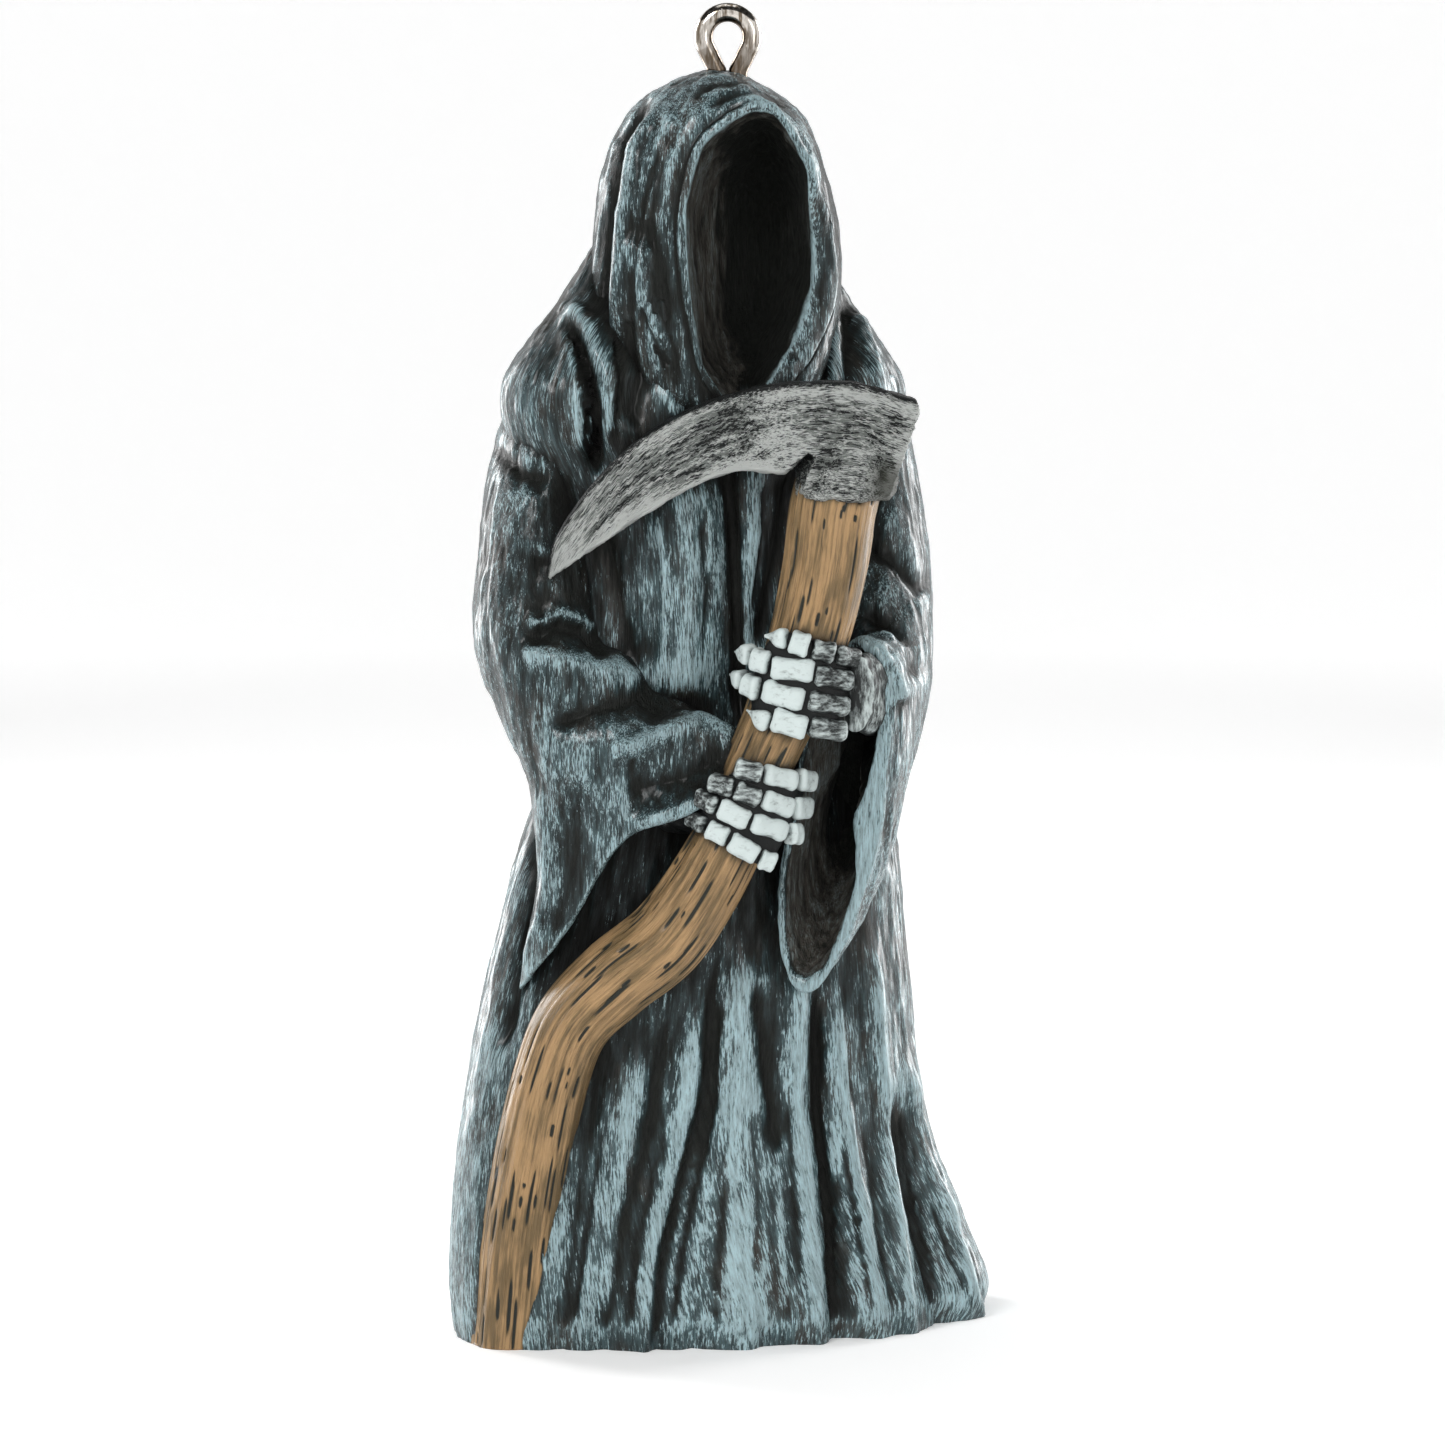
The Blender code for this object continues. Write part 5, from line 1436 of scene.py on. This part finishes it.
def bone_form(name, claw):
    """One finger bone of unit size along x, or a claw that tapers to its first end."""
    across, up = oval(full_turn(BONE_AROUND), BONE_SQUARENESS)
    rings = []
    for place in np.linspace(-0.5, 0.5, BONE_ALONG):
        end = 1 - (abs(place) * 2) ** BONE_END_POWER * BONE_END_LOSS
        thick = (BONE_WAIST + BONE_FLARE * (place * 2) ** 2) * end
        if claw:
            thick *= CLAW_POINT + CLAW_GAIN * smooth_step((place + 0.5) / CLAW_TAPER)
        ring = (np.full(BONE_AROUND, place), across * 0.5 * thick, up * 0.5 * thick)
        rings.append(np.stack(ring, axis=1))
    faces = tube_faces(BONE_ALONG, BONE_AROUND) + pole_faces(BONE_ALONG, BONE_AROUND)
    return new_object(name, closed_mesh(name, with_poles(np.array(rings)), faces))


def bone_tree():
    """Geometry nodes that set a copy of a bone on each point, turned and sized by its layers."""
    sockets = [("Points", GEOMETRY), ("Bone", OBJECT), ("Paint", MATERIAL)]
    board, given, out = modifier_group("set_bones", sockets, "Bones")
    named = {}
    for name in ("heading", "facing", "bone_size"):
        node = board.place("GeometryNodeInputNamedAttribute", {"Name": name}, data_type="FLOAT_VECTOR")
        named[name] = node["Attribute"]
    shape = board.place("GeometryNodeObjectInfo", {"Object": given["Bone"]})
    turn = board.place(
        "FunctionNodeAxesToRotation",
        {"Primary Axis": named["heading"], "Secondary Axis": named["facing"]},
        primary_axis="X",
        secondary_axis="Z",
    )
    inputs = {
        "Points": given["Points"],
        "Instance": shape["Geometry"],
        "Rotation": turn["Rotation"],
        "Scale": named["bone_size"],
    }
    copies = board.place("GeometryNodeInstanceOnPoints", inputs)
    return end_modifier_group(board, copies["Instances"], given["Paint"], out["Bones"])


def set_input(modifier, tree, label, value):
    """Sets one named input of a geometry nodes modifier."""
    for item in tree.interface.items_tree:
        if item.item_type == "SOCKET" and item.in_out == "INPUT" and item.name == label:
            modifier[item.identifier] = value


def finger_bones(grip, joints):
    """Each bone of one finger: its middle, heading, outward facing and length."""
    middle, depth, reach = grip
    places = []
    for x, z in joints:
        bow = math.sqrt(max(reach**2 - (x - middle) ** 2, LEAST_BOW))
        places.append((x, depth - bow, z))
    bones = []
    for first, second in zip(places, places[1:]):
        first, second = np.array(first), np.array(second)
        heading = second - first
        centre = (first + second) / 2
        facing = np.array([centre[0] - middle, centre[1] - depth, 0.0])
        bones.append((centre, heading, facing, np.linalg.norm(heading)))
    return bones


def set_of_bones(name, form, tree, bones, sizes, paint):
    """One object of all these bones: middle, heading, facing, length, width and tarnish."""
    width, gap = sizes.bone_width / U, sizes.bone_gap / U
    centres = turned(np.array([bone[0] for bone in bones]))
    mesh = bpy.data.meshes.new(name + "_points")
    mesh.from_pydata(centres.tolist(), [], [])
    tilt = np.random.default_rng(len(bones) + 50).normal(0, BONE_TILT, (len(bones), 3))
    lengths = np.array([[bone[3]] for bone in bones])
    headings = np.array([bone[1] for bone in bones]) + tilt * lengths
    add_layer(mesh, "heading", turned(headings) / U)
    add_layer(mesh, "facing", turned(np.array([bone[2] for bone in bones])) / U)
    chance = np.random.default_rng(len(bones))
    size = []
    for bone in bones:
        wide = width * bone[4]
        size.append(((bone[3] - gap) * U, wide * U, wide * BONE_DEPTH * U))
    add_layer(mesh, "bone_size", np.array(size) * chance.uniform(*BONE_SPREAD, (len(bones), 3)))
    add_layer(mesh, "tarnish_and_shade", np.array([bone[5] for bone in bones]))
    points = new_object(name + "_points", mesh)
    modifier = points.modifiers.new("bones", "NODES")
    modifier.node_group = tree
    set_input(modifier, tree, "Bone", form)
    set_input(modifier, tree, "Paint", paint)
    return evaluated_copy(points, name)


def chip(mesh, depth):
    """Small uneven dents all over a mesh, as deep as this in sculpt units."""
    points = mesh_points(mesh)
    dents = hills(points / U, (CHIP_SIZE, CHIP_SIZE, CHIP_SIZE), SEEDS["bones"], 2) * depth
    mesh.vertices.foreach_set("co", (points + mesh_normals(mesh) * (dents * U)[:, None]).ravel())
    mesh.update()


def build_fingers(sizes, paint):
    """The bones of both hands, as one piece for each hand."""
    tree = bone_tree()
    bone, claw = bone_form("bone_form", False), bone_form("claw_form", True)
    made = []
    for hand, grip, fingers, dark, width, clawed in (
        ("upper_hand", UPPER_GRIP, UPPER_FINGERS, UPPER_DARK, UPPER_WIDTH, True),
        ("lower_hand", LOWER_GRIP, LOWER_FINGERS, LOWER_DARK, LOWER_WIDTH, False),
    ):
        plain, tips = [], []
        for joints, tarnished in zip(fingers, dark):
            for number, each in enumerate(finger_bones(grip, joints)):
                if clawed and number == 0:
                    tips.append((*each, CLAW_WIDTH * width, CLAW_TARNISH))
                elif number in tarnished:
                    plain.append((*each, KNUCKLE_WIDTH * width, 1.0))
                else:
                    plain.append((*each, width, 0.0))
        made.append(set_of_bones(hand + "_bones", bone, tree, plain, sizes, paint))
        if tips:
            made.append(set_of_bones(hand + "_claws", claw, tree, tips, sizes, paint))
    bpy.data.objects.remove(bone)
    bpy.data.objects.remove(claw)
    bpy.data.node_groups.remove(tree)
    for piece in made:
        chip(piece.data, CHIP_DEPTH)
        add_layer(piece.data, "grain", (mesh_points(piece.data) / U)[:, ::-1])
    return made


def build_shade_web(name, grip, fingers):
    """A dark sheet behind the bones of one hand, which closes the gaps between them with painted shade.
    """
    middle, depth, reach = grip
    shares = np.linspace(0, 1, WEB_ALONG)
    top = through(fingers[0], shares * (len(fingers[0]) - 1))
    foot = through(fingers[-1], shares * (len(fingers[-1]) - 1))
    across, up = oval(full_turn(WEB_AROUND), WEB_SQUARENESS)
    rings = []
    for share, high, low in zip(shares, top, foot):
        ends = math.sqrt(max(1 - abs(share * 2 - 1) ** WEB_END_POWER, 0.02))
        centre, half = (high + low) / 2, (high - low) / 2 * (1 + WEB_MARGIN)
        flat = centre + np.outer(up * ends, half)
        bow = np.sqrt(np.maximum(reach**2 - (flat[:, 0] - middle) ** 2, LEAST_BOW))
        y = depth - bow + WEB_BACKING - across * 0.5 * ends
        rings.append(np.stack([flat[:, 0], y, flat[:, 1]], axis=1))
    rings = np.array(rings)
    return loft(name, rings, rings.copy(), {"tarnish_and_shade": WEB_SHADE})


def build_palm(name, stations):
    """The back of a hand, where its fingers meet in the mouth of the sleeve."""
    angles = full_turn(PALM_AROUND)
    rings = []
    for x, y, z, wide, tall in open_curve(stations, PALM_ALONG):
        ring = (x + wide * np.cos(angles), np.full(PALM_AROUND, y), z + tall * np.sin(angles))
        rings.append(np.stack(ring, axis=1))
    rings = np.array(rings)
    lumps = hills(rings, (1.0, 1.0, 1.0), SEEDS["palms"], 2) * PALM_LUMPS
    rings = rings + outward(rings) * lumps[..., None]
    return loft(name, rings, rings.copy(), {"tarnish_and_shade": PALM_TARNISH})


def loop_path(sizes):
    """Points of the wire loop's middle line, from the foot of one leg to the foot of the other."""
    radius = (sizes.loop_width - sizes.wire) / 2
    half_gap = (sizes.wire + LEG_GAP) / 2
    crown = FIGURE_HEIGHT + sizes.loop_rise - sizes.wire / 2 - radius
    turns = np.linspace(-LOOP_CLOSING, math.pi + LOOP_CLOSING, LOOP_STEPS)
    arc = [(radius * math.cos(a), crown + radius * math.sin(a)) for a in turns]
    foot = FIGURE_HEIGHT - LEG_DEPTH
    throat = FIGURE_HEIGHT - LOOP_THROAT
    return [(half_gap, foot), (half_gap, throat)] + arc + [(-half_gap, throat), (-half_gap, foot)]


def wire_tree():
    """Geometry nodes that draw a round wire along a line of points."""
    sockets = [("Line", GEOMETRY), ("Radius", NUMBER), ("Sides", WHOLE), ("Finish", MATERIAL)]
    board, given, out = modifier_group("draw_wire", sockets, "Wire")
    line = board.place("GeometryNodeMeshToCurve", {"Mesh": given["Line"]})
    inputs = {"Resolution": given["Sides"], "Radius": given["Radius"]}
    profile = board.place("GeometryNodeCurvePrimitiveCircle", inputs)
    inputs = {"Curve": line["Curve"], "Profile Curve": profile["Curve"], "Fill Caps": True}
    wire = board.place("GeometryNodeCurveToMesh", inputs)
    return end_modifier_group(board, wire["Mesh"], given["Finish"], out["Wire"])


def build_loop(sizes, finish):
    """The bright wire loop that the ornament hangs by."""
    x0, y0 = LOOP_PLACE
    path = np.array([(x / U + x0, y0, z / U) for x, z in loop_path(sizes)])
    mesh = bpy.data.meshes.new("loop_line")
    edges = [(i, i + 1) for i in range(len(path) - 1)]
    mesh.from_pydata(turned(path).tolist(), edges, [])
    line = new_object("loop_line", mesh)
    tree = wire_tree()
    modifier = line.modifiers.new("wire", "NODES")
    modifier.node_group = tree
    set_input(modifier, tree, "Radius", sizes.wire / 2)
    set_input(modifier, tree, "Sides", WIRE_SIDES)
    set_input(modifier, tree, "Finish", finish)
    piece = evaluated_copy(line, "wire_loop")
    fix_winding(piece.data)
    add_layer(piece.data, "grain", mesh_points(piece.data) / U)
    bpy.data.node_groups.remove(tree)
    return piece


# Paint layers measured on the finished forms.


def averaged(values, ends, count, rounds):
    """The values after they are averaged with their neighbours this many times."""
    size = len(values)
    for _ in range(rounds):
        total = np.stack(
            [np.bincount(ends[:, 0], values[ends[:, 1], a], size) for a in range(values.shape[1])], 1
        )
        values = (values + total / count[:, None]) / 2
    return values


def both_ways(mesh):
    """Every edge of a mesh in both directions, and how many meet at each point."""
    edges = read_rows(mesh.edges, "vertices", 2, np.int32)
    ends = np.concatenate([edges, edges[:, ::-1]])
    return ends, np.maximum(np.bincount(ends[:, 0], minlength=len(mesh.vertices)), 1)


def measure_ridges(mesh, ends, count, scales):
    """How far each point stands over its surroundings, each scale a spread in mm and a weight."""
    points, normals = mesh_points(mesh) / U, mesh_normals(mesh)
    step = np.linalg.norm(points[ends[:, 0]] - points[ends[:, 1]], axis=1).mean()
    height, smooth, done = np.zeros(len(points)), points, 0
    for spread, weight in scales:
        rounds = max(int(4 * (spread / step) ** 2) - done, 1)
        smoother = averaged(smooth, ends, count, rounds)
        height += ((smooth - smoother) * normals).sum(axis=1) * weight
        smooth, done = smoother, done + rounds
    return np.clip(height, -RIDGE_LIMIT, RIDGE_LIMIT)


def all_together(pieces):
    """One search tree over the triangles of every piece."""
    points, corners, start = [], [], 0
    for piece in pieces:
        corners.append(mesh_triangles(piece.data) + start)
        points.append(mesh_points(piece.data))
        start += len(points[-1])
    return BVHTree.FromPolygons(
        np.concatenate(points).tolist(), np.concatenate(corners).tolist(), all_triangles=True
    )


def measure_openness(mesh, tree, ends, count, rays):
    """The share of directions out of each point in which nothing is near."""
    points, normals = mesh_points(mesh), mesh_normals(mesh)
    chance = np.random.default_rng(OPEN_SEED)
    free, cast, reach = np.zeros(len(points)), tree.ray_cast, OPEN_REACH * U
    origins = (points + normals * OPEN_START * U).tolist()
    for _ in range(rays):
        spread = chance.normal(size=points.shape)
        spread /= np.linalg.norm(spread, axis=1, keepdims=True)
        heading = normals + spread * OPEN_SPREAD
        heading /= np.linalg.norm(heading, axis=1, keepdims=True) + 1e-9
        free += [cast(o, d, reach)[0] is None for o, d in zip(origins, heading.tolist())]
    return averaged((free / rays)[:, None], ends, count, OPEN_ROUNDS)[:, 0]


def measure_paint_layers():
    """Gives every piece its ridge and openness layers, which the dry brushing and the painted shade in
    the hollows follow.
    """
    pieces = [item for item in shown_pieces() if "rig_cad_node" not in item]
    tree = all_together(pieces)
    rays = OPEN_RAYS
    for piece in pieces:
        mesh = piece.data
        ends, count = both_ways(mesh)
        scales = HAND_SCALES if "hand" in piece.name else CLOTH_SCALES
        add_layer(mesh, "ridge", measure_ridges(mesh, ends, count, scales))
        openness = measure_openness(mesh, tree, ends, count, rays)
        if "glow" in mesh.attributes:
            glow = read_rows(mesh.attributes["glow"].data, "value", 1)[:, 0]
            openness = np.maximum(openness, glow)
        add_layer(mesh, "openness", openness)


# The stage.


def to_scene(point):
    """A point in sculpt units, as seen from the photograph's side, in the part's own frame."""
    return Vector(turned(np.array(point, float))[0])


def add_camera():
    """The camera at the photograph's viewpoint."""
    camera = bpy.data.objects.new("camera", bpy.data.cameras.new("camera"))
    camera.data.sensor_width = CAMERA_SENSOR
    camera.data.lens = CAMERA_LENS
    camera.data.clip_start, camera.data.clip_end = 0.01, 20.0
    place, aim = to_scene(CAMERA_PLACE), to_scene(CAMERA_AIM)
    camera.location = place
    camera.rotation_euler = (aim - place).to_track_quat("-Z", "Y").to_euler()
    bpy.context.scene.collection.objects.link(camera)
    bpy.context.scene.camera = camera


def add_softbox(name, place, aim, width, height, power):
    """A soft rectangular light, placed and aimed in sculpt units."""
    light = bpy.data.lights.new(name, "AREA")
    light.shape = "RECTANGLE"
    light.size, light.size_y, light.energy = width * U, height * U, power
    item = bpy.data.objects.new(name, light)
    start, end = to_scene(place), to_scene(aim)
    item.location = start
    item.rotation_euler = (end - start).to_track_quat("-Z", "Y").to_euler()
    bpy.context.scene.collection.objects.link(item)


def add_sweep():
    """A white floor that sweeps up into a backdrop all round."""
    radii, heights = list(SWEEP_FLAT), [0.0] * len(SWEEP_FLAT)
    for turn in np.linspace(0.1, math.pi / 2, SWEEP_STEPS):
        radii.append(SWEEP_FLAT[-1] + SWEEP_ROUND * math.sin(turn))
        heights.append(SWEEP_ROUND * (1 - math.cos(turn)))
    angles = full_turn(SWEEP_AROUND)
    rings = []
    for radius, height in zip(radii, heights):
        radius = max(radius, 1.0)
        ring = (radius * np.cos(angles), radius * np.sin(angles), np.full(SWEEP_AROUND, height))
        rings.append(np.stack(ring, axis=1))
    faces = tube_faces(len(rings), SWEEP_AROUND) + [tuple(range(SWEEP_AROUND))]
    mesh = bpy.data.meshes.new("sweep")
    mesh.from_pydata((np.concatenate(rings) * U).tolist(), [], faces)
    sweep = new_object("sweep", mesh)
    far = smooth_step((np.array(radii) - SWEEP_GROWS_FROM) / SWEEP_GROWS_OVER)
    add_layer(mesh, "far", np.repeat(far, SWEEP_AROUND))
    material, board, shader = new_material("white_sweep", 0.9)
    white, near, away = ((*[value] * 3, 1.0) for value in (SWEEP_WHITE, SWEEP_NEAR, SWEEP_FAR))
    shader.inputs["Base Color"].default_value = white
    shader.inputs["Emission Strength"].default_value = SWEEP_GLOW
    board.feed(shader.inputs["Emission Color"], board.mix(board.layer("far"), near, away))
    mesh.materials.append(material)
    sweep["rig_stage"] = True


def light_world(strength):
    """An even white surround."""
    world = bpy.data.worlds.new("surround")
    world.use_nodes = True
    world.node_tree.nodes["Background"].inputs["Color"].default_value = (1, 1, 1, 1)
    world.node_tree.nodes["Background"].inputs["Strength"].default_value = strength
    bpy.context.scene.world = world


# Operators.


class ORNAMENT_OT_robe(Operator):
    """Build the robe"""

    bl_idname = "ornament.robe"
    bl_label = "Robe"

    def execute(self, context):
        settle(build_robe(context.scene.ornament_sizes), paints_of("brushed_cloth"))
        return {"FINISHED"}


class ORNAMENT_OT_hood(Operator):
    """Build the empty hood"""

    bl_idname = "ornament.hood"
    bl_label = "Hood"

    def execute(self, context):
        settle(build_hood(context.scene.ornament_sizes), paints_of("brushed_cloth"))
        return {"FINISHED"}


class ORNAMENT_OT_sleeves(Operator):
    """Build the two hanging sleeves"""

    bl_idname = "ornament.sleeves"
    bl_label = "Sleeves"

    def execute(self, context):
        sizes, cloth = context.scene.ornament_sizes, paints_of("brushed_cloth")
        for tables in (
            ("right_sleeve", RIGHT_SLEEVE, RIGHT_HEM_CUT, RIGHT_FOLDS, RIGHT_BROAD_HEM, RIGHT_LOADS),
            ("left_sleeve", LEFT_SLEEVE, LEFT_HEM_CUT, LEFT_FOLDS, LEFT_BROAD_HEM, LEFT_LOADS),
        ):
            settle(build_sleeve(*tables, sizes), cloth)
        return {"FINISHED"}


class ORNAMENT_OT_scythe(Operator):
    """Build the scythe's handle and blade"""

    bl_idname = "ornament.scythe"
    bl_label = "Scythe"

    def execute(self, context):
        sizes = context.scene.ornament_sizes
        settle(build_snath(sizes), paints_of("painted_wood"))
        settle(build_blade(), paints_of("silvered_blade"))
        return {"FINISHED"}


class ORNAMENT_OT_hands(Operator):
    """Build the bones and the backs of both hands"""

    bl_idname = "ornament.hands"
    bl_label = "Hands"

    def execute(self, context):
        sizes, bone = context.scene.ornament_sizes, paints_of("painted_bone")
        for piece in build_fingers(sizes, bone):
            settle(piece, bone)
        settle(build_shade_web("upper_hand_web", UPPER_GRIP, UPPER_FINGERS), bone)
        settle(build_shade_web("lower_hand_web", LOWER_GRIP, LOWER_FINGERS), bone)
        settle(build_palm("upper_hand_back", UPPER_PALM), bone)
        settle(build_palm("lower_hand_back", LOWER_PALM), bone)
        return {"FINISHED"}


class ORNAMENT_OT_loop(Operator):
    """Build the wire loop in the crown"""

    bl_idname = "ornament.loop"
    bl_label = "Wire loop"

    def execute(self, context):
        wire = paints_of("plated_wire")
        piece = build_loop(context.scene.ornament_sizes, wire)
        settle(piece, wire, "hanging_loop")
        return {"FINISHED"}


class ORNAMENT_OT_paint(Operator):
    """Measure the ridges and hollows that the paint follows"""

    bl_idname = "ornament.paint"
    bl_label = "Paint layers"

    def execute(self, context):
        measure_paint_layers()
        return {"FINISHED"}


class ORNAMENT_OT_stage(Operator):
    """Set the floor, the lights and the camera"""

    bl_idname = "ornament.stage"
    bl_label = "Stage"

    def execute(self, context):
        add_sweep()
        light_world(SURROUND_STRENGTH)
        add_camera()
        for lamp in LAMPS:
            add_softbox(*lamp)
        context.scene.view_settings.view_transform = "Standard"
        return {"FINISHED"}


STEPS = ("robe", "hood", "sleeves", "scythe", "hands", "loop", "paint", "stage")


class ORNAMENT_PT_panel(Panel):
    """The steps that build the ornament, with its sizes and paints"""

    bl_idname = "ORNAMENT_PT_panel"
    bl_label = "Reaper Ornament"
    bl_space_type = "VIEW_3D"
    bl_region_type = "UI"
    bl_category = "Ornament"

    def draw(self, context):
        for name in ("ornament_sizes", "ornament_paints"):
            settings = getattr(context.scene, name)
            box = self.layout.box()
            for key in settings.__annotations__:
                box.prop(settings, key)
        for step in STEPS:
            self.layout.operator("ornament." + step)


CLASSES = (
    OrnamentSizes,
    OrnamentPaints,
    ORNAMENT_OT_robe,
    ORNAMENT_OT_hood,
    ORNAMENT_OT_sleeves,
    ORNAMENT_OT_scythe,
    ORNAMENT_OT_hands,
    ORNAMENT_OT_loop,
    ORNAMENT_OT_paint,
    ORNAMENT_OT_stage,
    ORNAMENT_PT_panel,
)


def register():
    for each in CLASSES:
        bpy.utils.register_class(each)
    bpy.types.Scene.ornament_sizes = PointerProperty(type=OrnamentSizes)
    bpy.types.Scene.ornament_paints = PointerProperty(type=OrnamentPaints)


def unregister():
    del bpy.types.Scene.ornament_paints
    del bpy.types.Scene.ornament_sizes
    for each in reversed(CLASSES):
        bpy.utils.unregister_class(each)


def main():
    register()
    for step in STEPS:
        getattr(bpy.ops.ornament, step)()


if __name__ == "__main__":
    main()
